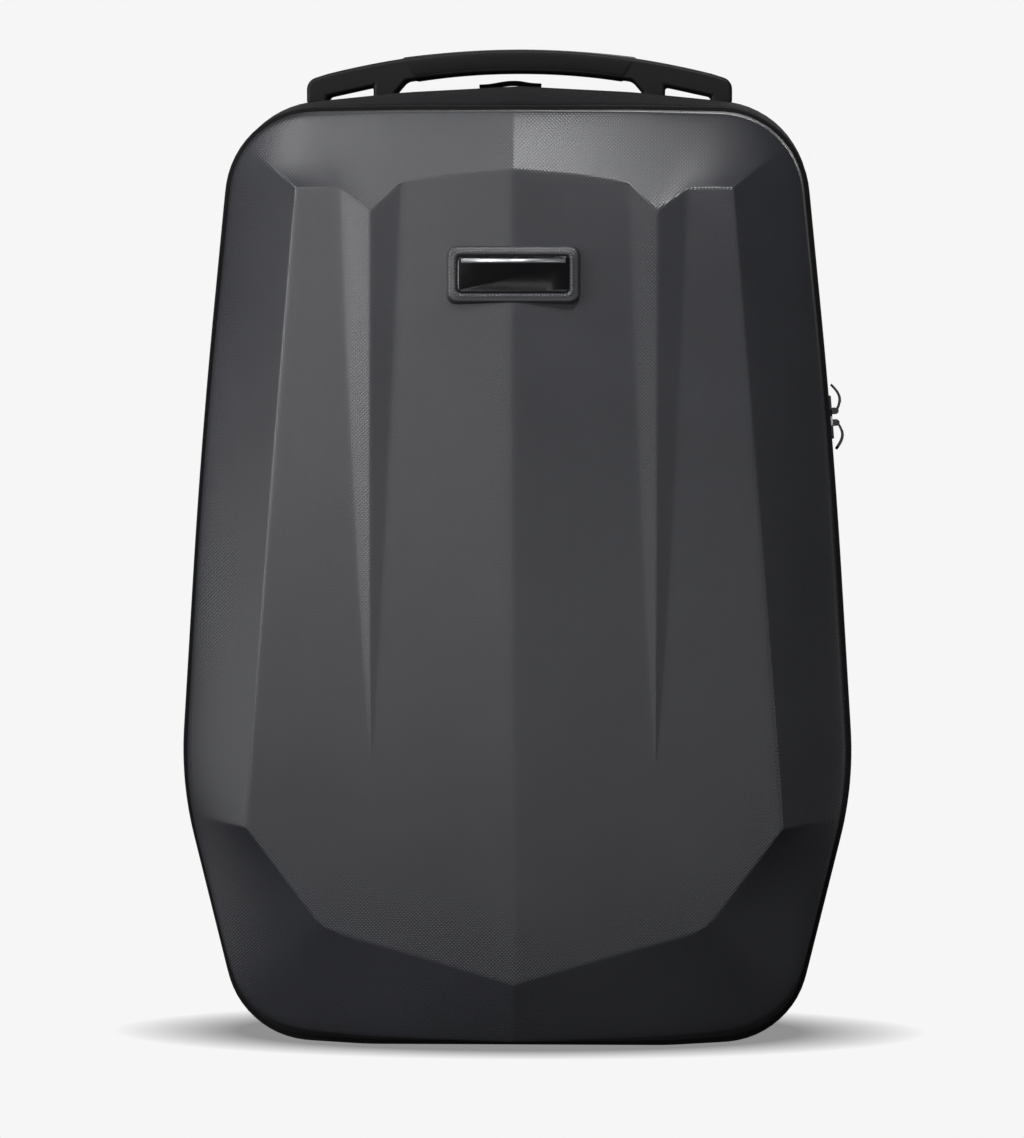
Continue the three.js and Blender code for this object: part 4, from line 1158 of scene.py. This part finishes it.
def strap_tongue(course, name):
    """Webbing loop at the foot of a pad, round the top bar of its buckle."""
    low = BUCKLE_BAR / 2 + BUCKLE_SLOT
    reach = BUCKLE_THICKNESS / 2 + CLEAR + TONGUE_WALL / 2
    under = low - CLEAR - TONGUE_WALL / 2
    top = low + BUCKLE_BAR + 12
    down = [(0, reach * 0.5, top), (0, reach, top - 5), (0, reach, low), (0, reach * 0.7, under + 0.4)]
    path = [*down, (0, 0, under), *[(0, -out, up) for _, out, up in reversed(down)]]
    line = smooth_line(from_buckle(course, path), 6)
    held = ("folded", (f"buckle_{name}_finish",))
    band(f"strap_tongue_{name}", line, course["across"], TONGUE_WALL, *held)


def band(name, line, across, thickness, held, rests_on, width=WEB_WIDTH, replaces=()):
    """A woven band, as wide as it is cut and as long as its course."""
    count = len(line)
    shape = swept(line, across, superellipse(7, 20), [width] * count, [thickness] * count)
    obj = add_piece(name, *shape[:2], "webbing", flow=shape[2], replaces=replaces)


def webbing(course, side, name):
    gap = BUCKLE_THICKNESS / 2 + 2 * CLEAR + WEB_THICKNESS / 2
    over = BUCKLE_BAR / 2 + 2 * CLEAR + WEB_THICKNESS / 2
    low = -(BUCKLE_BAR * 1.5 + BUCKLE_SLOT)
    web_face = course["anchor"][1]
    start = [(side * ANCHOR_SIDE, web_face, ANCHOR_HEIGHT - ANCHOR_LAP)]
    start += [(side * ANCHOR_SIDE, web_face, ANCHOR_HEIGHT), tuple(course["anchor"])]
    turn = [
        (0, -gap, low - BUCKLE_BAR), (0, -gap, low * 0.5), (0, -gap, 0), (0, -gap, over * 0.5),
        (0, -gap * 0.6, over), (0, 0, over + CLEAR), (0, gap * 0.6, over), (0, gap, over * 0.5),
        (0, gap, 0), (0, gap, low), (0, gap + TAIL_SPREAD * 0.6, low - TAIL_LENGTH * 0.5),
        (0, gap + TAIL_SPREAD, low - TAIL_LENGTH),
    ]
    line = smooth_line(np.vstack([start, from_buckle(course, turn)]), 7)
    held = ("hung", (f"buckle_{name}_finish",))
    node = f"webbing_{name}"
    band(f"webbing_cloth_{name}", line, course["across"], WEB_THICKNESS, *held, replaces=(node,))
    points, faces = [], []
    face = web_face + WEB_THICKNESS / 2 + 0.05
    wide, high = ANCHOR_BOX
    box = [(-wide, -high), (wide, -high), (wide, high), (-wide, high)]
    runs = [*zip(box, [*box[1:], box[0]]), (box[0], box[2]), (box[1], box[3])]
    for first, second in runs:
        start = np.array([side * ANCHOR_SIDE + first[0], face, ANCHOR_HEIGHT + first[1]])
        end = np.array([side * ANCHOR_SIDE + second[0], face, ANCHOR_HEIGHT + second[1]])
        count = max(2, int(np.linalg.norm(end - start) / ANCHOR_STITCH_PITCH))
        for step in range(count):
            a = start + (end - start) * (step + 0.12) / count
            b = start + (end - start) * (step + 0.82) / count
            add_stitch(points, faces, a, b)
    add_piece(f"anchor_stitches_{name}", points, faces, "thread", "webbing")


# Carry handle

def handle_arch(x):
    return RIM_HEIGHT + HANDLE_TOP - x * x / (2 * HANDLE_RADIUS)


def handle_outline():
    """Closed outline of the handle in X and Z, with its two feet at each end."""
    end = HANDLE_SPAN / 2
    bottom = RIM_HEIGHT + 1.0
    outer_in = end - OUTER_FOOT
    inner_out = outer_in - SLOT_LENGTH
    inner_in = inner_out - INNER_FOOT

    def under(x):
        return handle_arch(x) - HANDLE_THICKNESS

    right = [(end, bottom), (end, handle_arch(end) - 0.4)]
    right.append((end - HANDLE_END_RUN, handle_arch(end - HANDLE_END_RUN)))
    top_right = rounded_polygon(right, [HANDLE_END_ROUND], 8)[:-1]
    arch = [(x, handle_arch(x)) for x in np.linspace(end - 10, 0, 40)]
    lower = [(x, under(x)) for x in np.linspace(0, inner_in - FOOT_FLARE, 30)[1:]]
    lower += [(inner_in, under(inner_in) - FOOT_FLARE), (inner_in, bottom), (inner_out, bottom)]
    lower += [(inner_out, under(inner_out)), (outer_in, under(outer_in)), (outer_in, bottom)]
    half = [*map(tuple, top_right), *arch]
    mirror = [(-x, z) for x, z in reversed(half[:-1])]
    return [*half, *mirror, *[(-x, z) for x, z in reversed(lower)], (0, under(0)), *lower]


def prism(outline, front, back):
    count = len(outline)
    points = [(x, front, z) for x, z in outline] + [(x, back, z) for x, z in outline]
    faces = [tuple(range(count)), tuple(range(2 * count - 1, count - 1, -1))]
    faces += [(i, (i + 1) % count, (i + 1) % count + count, i + count) for i in range(count)]
    return points, faces


def bevel(obj, width, segments=3, angle=35):
    modifier = obj.modifiers.new("edges", "BEVEL")
    modifier.width = width
    modifier.segments = segments
    modifier.limit_method = "ANGLE"
    modifier.angle_limit = math.radians(angle)
    weighted = obj.modifiers.new("shade", "WEIGHTED_NORMAL")
    weighted.keep_sharp = False


def carry_handle():
    front = HANDLE_MIDDLE - HANDLE_DEPTH / 2
    back = HANDLE_MIDDLE + HANDLE_DEPTH / 2
    body = add_piece("handle_bar", *prism(handle_outline(), front, back), "handle")
    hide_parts("carry_handle")
    bevel(body, HANDLE_EDGE * MM, 4)
    sleeve = handle_sleeve()
    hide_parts("handle_grip")


def handle_sleeve():
    """Soft grip let into the middle of the handle, with slanted ends."""
    points, rings = [], []
    end = GRIP_LENGTH / 2
    section = superellipse(5.0, 40)
    run = np.linspace(-end + GRIP_EDGE, end - GRIP_EDGE, 88)
    stations = np.concatenate([[-end, -end + 0.5], run, [end - 0.5, end]])
    for x in stations:
        gap = end - abs(x)
        swell = -0.5 + 0.75 * min(1.0, gap / GRIP_EDGE) ** 0.5
        lean = x / HANDLE_RADIUS
        middle = handle_arch(x) - HANDLE_THICKNESS / 2
        ring = []
        for a, b in section:
            up = b * (HANDLE_THICKNESS + 2 * swell)
            slant = GRIP_SLANT * up * (1 if x < 0 else -1) * min(1.0, abs(x) / end) ** 2
            depth = HANDLE_MIDDLE + a * (HANDLE_DEPTH + 2 * swell)
            ring.append((x + up * lean - slant, depth, middle + up))
        rings.append(ring)
        points += ring
    count = len(section)
    faces, flow = grid_faces(len(rings), count, False, True, GRIP_LENGTH * MM, GRIP_GIRTH * MM)
    faces = faces.tolist()
    faces += caps(len(rings), count)
    flow = np.vstack([flow[:, ::-1], np.zeros((2 * count, 2))])
    return add_piece("handle_sleeve", points, faces, "grip", flow=flow)


def hang_loop():
    """A low bell of webbing behind the handle, sewn down at both ends."""
    top = half_outline(TOP_RISE, RIM_POINTS)[::-1][: RIM_POINTS // 8]
    middle = GUSSET_BACK - LOOP_SETBACK - LOOP_BAND / 2
    line = []
    for share in np.linspace(-1, 1, 40):
        turn = min(abs(share) / LOOP_BELL, 1.0) * math.pi / 2
        x = LOOP_SIDE + share * LOOP_LENGTH / 2
        base = float(np.interp(abs(x), top[:, 0], top[:, 1])) + CLEAR + LOOP_THICKNESS / 2
        line.append((x, middle, base + math.cos(turn) ** 2 * (LOOP_RISE - LOOP_THICKNESS)))
    across = np.array([0.0, 1.0, 0.0])
    held = ("stretched", ("gusset_cloth",))
    band("hang_loop_cloth", line, across, LOOP_THICKNESS, *held, LOOP_BAND, replaces=("hang_loop",))


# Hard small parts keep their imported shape, on copies with rounded edges and a finish

HARDWARE_COLUMNS = ("node", "look", "body", "edge")
HARDWARE = [
    ("slider_upper", "metal", BODY, 0.2),
    ("slider_lower", "metal", BODY, 0.2),
    ("pull_upper", "metal", "upper_tab", 0.2),
    ("pull_lower", "metal", "lower_tab", 0.2),
    ("buckle_left", "buckle", BODY, 0.4),
    ("buckle_right", "buckle", BODY, 0.4),
    ("tab_left", "webbing", BODY, 0.4),
    ("tab_right", "webbing", BODY, 0.4),
]


def dress_hardware():
    for values in HARDWARE:
        row = dict(zip(HARDWARE_COLUMNS, values))
        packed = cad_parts[row["node"]]
        mesh = packed.data.copy()
        mesh.name = f"{row['node']}_finish"
        mesh.transform(packed.matrix_world)
        mesh.materials.clear()
        mesh.materials.append(LOOKS[row["look"]])
        mesh.polygons.foreach_set("use_smooth", [True] * len(mesh.polygons))
        piece = bpy.data.objects.new(f"{row['node']}_finish", mesh)
        bpy.context.scene.collection.objects.link(piece)
        planar_flow(piece)
        bevel(piece, row["edge"] * MM, 2, 40)
        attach(piece, row["body"])
        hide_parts(row["node"])


# Stage: a pale floor and backdrop, soft lights and the camera

STAGE_LEVEL = 0.922
SHADOW_LEVEL = 0.30
SHADOW_REACH = (0.205, 0.085)
SHADOW_MIDDLE = 0.021
SHADOW_RAMP = (0.67, 0.97)
CAMERA_DISTANCE = 2.3
CAMERA_AZIMUTH = 1.5
CAMERA_ELEVATION = 4.0
FIELD_HEIGHT = 0.5476
SENSOR = 36.0
AIM = Vector((-0.003, 0.0, 0.2272))


def emission(name, level):
    material = bpy.data.materials.new(name)
    material.use_nodes = True
    tree = material.node_tree
    tree.nodes.clear()
    glow = tree.nodes.new("ShaderNodeEmission")
    out = tree.nodes.new("ShaderNodeOutputMaterial")
    glow.inputs["Color"].default_value = (level, level, level, 1)
    tree.links.new(glow.outputs[0], out.inputs["Surface"])
    return material, tree, glow


def floor_material():
    """Pale floor with a soft round shade under the bag."""
    material, tree, glow = emission("pale_floor", STAGE_LEVEL)
    coordinates = tree.nodes.new("ShaderNodeTexCoord")
    mapping = tree.nodes.new("ShaderNodeMapping")
    mapping.inputs["Scale"].default_value = (1 / SHADOW_REACH[0], 1 / SHADOW_REACH[1], 0)
    mapping.inputs["Location"].default_value = (0, -SHADOW_MIDDLE / SHADOW_REACH[1], 0)
    length = tree.nodes.new("ShaderNodeVectorMath")
    length.operation = "LENGTH"
    ramp = tree.nodes.new("ShaderNodeMapRange")
    ramp.interpolation_type = "LINEAR"
    ramp.inputs["From Min"].default_value = SHADOW_RAMP[0]
    ramp.inputs["From Max"].default_value = SHADOW_RAMP[1]
    ramp.inputs["To Min"].default_value = SHADOW_LEVEL
    ramp.inputs["To Max"].default_value = 1.0
    tree.links.new(coordinates.outputs["Object"], mapping.inputs[0])
    tree.links.new(mapping.outputs[0], length.inputs[0])
    tree.links.new(length.outputs["Value"], ramp.inputs["Value"])
    tree.links.new(ramp.outputs[0], glow.inputs["Strength"])
    return material


def seen_by_camera_only(obj):
    obj.visible_diffuse = False
    obj.visible_glossy = False
    obj.visible_transmission = False
    obj.visible_shadow = False


def stage():
    bpy.ops.mesh.primitive_circle_add(vertices=64, radius=6, fill_type="NGON", location=(0, 0, -0.0006))
    floor = bpy.context.object
    floor.name = "floor"
    floor.data.materials.append(floor_material())
    bpy.ops.mesh.primitive_uv_sphere_add(segments=48, ring_count=24, radius=7)
    backdrop = bpy.context.object
    backdrop.name = "backdrop"
    backdrop.data.materials.append(emission("pale_backdrop", STAGE_LEVEL)[0])
    for obj in (floor, backdrop):
        seen_by_camera_only(obj)


# Soft boxes, all at one distance from the middle of the bag and turned to it: angles in degrees,
# azimuth 0 in front and 90 on the right, size in metres and power in watts.
LIGHT_COLUMNS = ("azimuth", "elevation", "size", "power")
LIGHTS = [
    (-90, -8, 0.8, 4.83),
    (-12, -8, 0.8, 3.6),
    (12, -8, 0.8, 3.71),
    (60, -8, 0.8, 3.68),
    (120, -8, 0.8, 0.63),
    (-35, 15, 0.8, 11.14),
    (150, 15, 0.8, 0.72),
    (-90, 38, 0.8, 2.00),
    (-35, 38, 0.8, 4.49),
    (-60, 62, 0.8, 1.32),
    (180, 62, 0.8, 6.5),
    (-58, 12, 0.4, 15.21),
    (-46, -5, 0.4, 4.23),
    (12, 50, 0.4, 31.0),
    (52, 50, 0.4, 2.0),
    (-50, 50, 0.4, 3.92),
    (-70, 50, 0.4, 8.54),
    (165, 40, 0.8, 11.0),
    (150, 20, 0.4, 2.20),
]
LIGHT_DISTANCE = 2.2
LIGHT_TARGET = Vector((0.0, 0.0, 0.25))
WORLD_LEVEL = 0.012


def direction(azimuth, elevation):
    turn, rise = math.radians(azimuth), math.radians(elevation)
    return Vector((math.sin(turn) * math.cos(rise), -math.cos(turn) * math.cos(rise), math.sin(rise)))


def lights():
    for index, values in enumerate(LIGHTS):
        row = dict(zip(LIGHT_COLUMNS, values))
        name = f"soft_box_{index}"
        data = bpy.data.lights.new(name, "AREA")
        data.shape = "SQUARE"
        data.size = row["size"]
        data.energy = row["power"]
        lamp = bpy.data.objects.new(name, data)
        away = direction(row["azimuth"], row["elevation"])
        lamp.location = LIGHT_TARGET + away * LIGHT_DISTANCE
        lamp.rotation_euler = (-away).to_track_quat("-Z", "Y").to_euler()
        bpy.context.scene.collection.objects.link(lamp)
    world = bpy.data.worlds.new("studio")
    world.use_nodes = True
    world.node_tree.nodes["Background"].inputs[0].default_value = (WORLD_LEVEL, WORLD_LEVEL, WORLD_LEVEL, 1)
    bpy.context.scene.world = world
    bpy.context.scene.view_settings.view_transform = "Standard"
    bpy.context.scene.view_settings.look = "None"


def camera():
    away = direction(CAMERA_AZIMUTH, CAMERA_ELEVATION)
    data = bpy.data.cameras.new("camera")
    data.sensor_width = SENSOR
    data.lens = SENSOR * CAMERA_DISTANCE / FIELD_HEIGHT
    data.dof.use_dof = False
    eye = bpy.data.objects.new("camera", data)
    eye.location = AIM + away * CAMERA_DISTANCE
    eye.rotation_euler = (-away).to_track_quat("-Z", "Y").to_euler()
    bpy.context.scene.collection.objects.link(eye)
    bpy.context.scene.camera = eye


camera()
lights()
stage()
front_shell()
badge()
edge_binding("front_edge", BINDING_FRONT, 0.0, "front_binding")
zip_tape()
zip_teeth()
edge_binding("middle_edge", PIPING_FRONT, 0.0, "gusset_piping")
gusset()
edge_binding("back_edge", BACK_BINDING, TOP_RISE * 0.8, "back_binding")
stitch_hoop("tape_stitches", -TAPE_INSET + 0.1, TAPE_FRONT + TAPE_STITCH_INSET, 0.0)
back_row = TAPE_FRONT + TAPE_DEPTH - TAPE_STITCH_INSET
stitch_hoop("tape_stitches_back", -TAPE_INSET + 0.1, back_row, 0.0)
back_panel()
carry_handle()
hang_loop()
strap(-1, "left")
strap(1, "right")
dress_hardware()
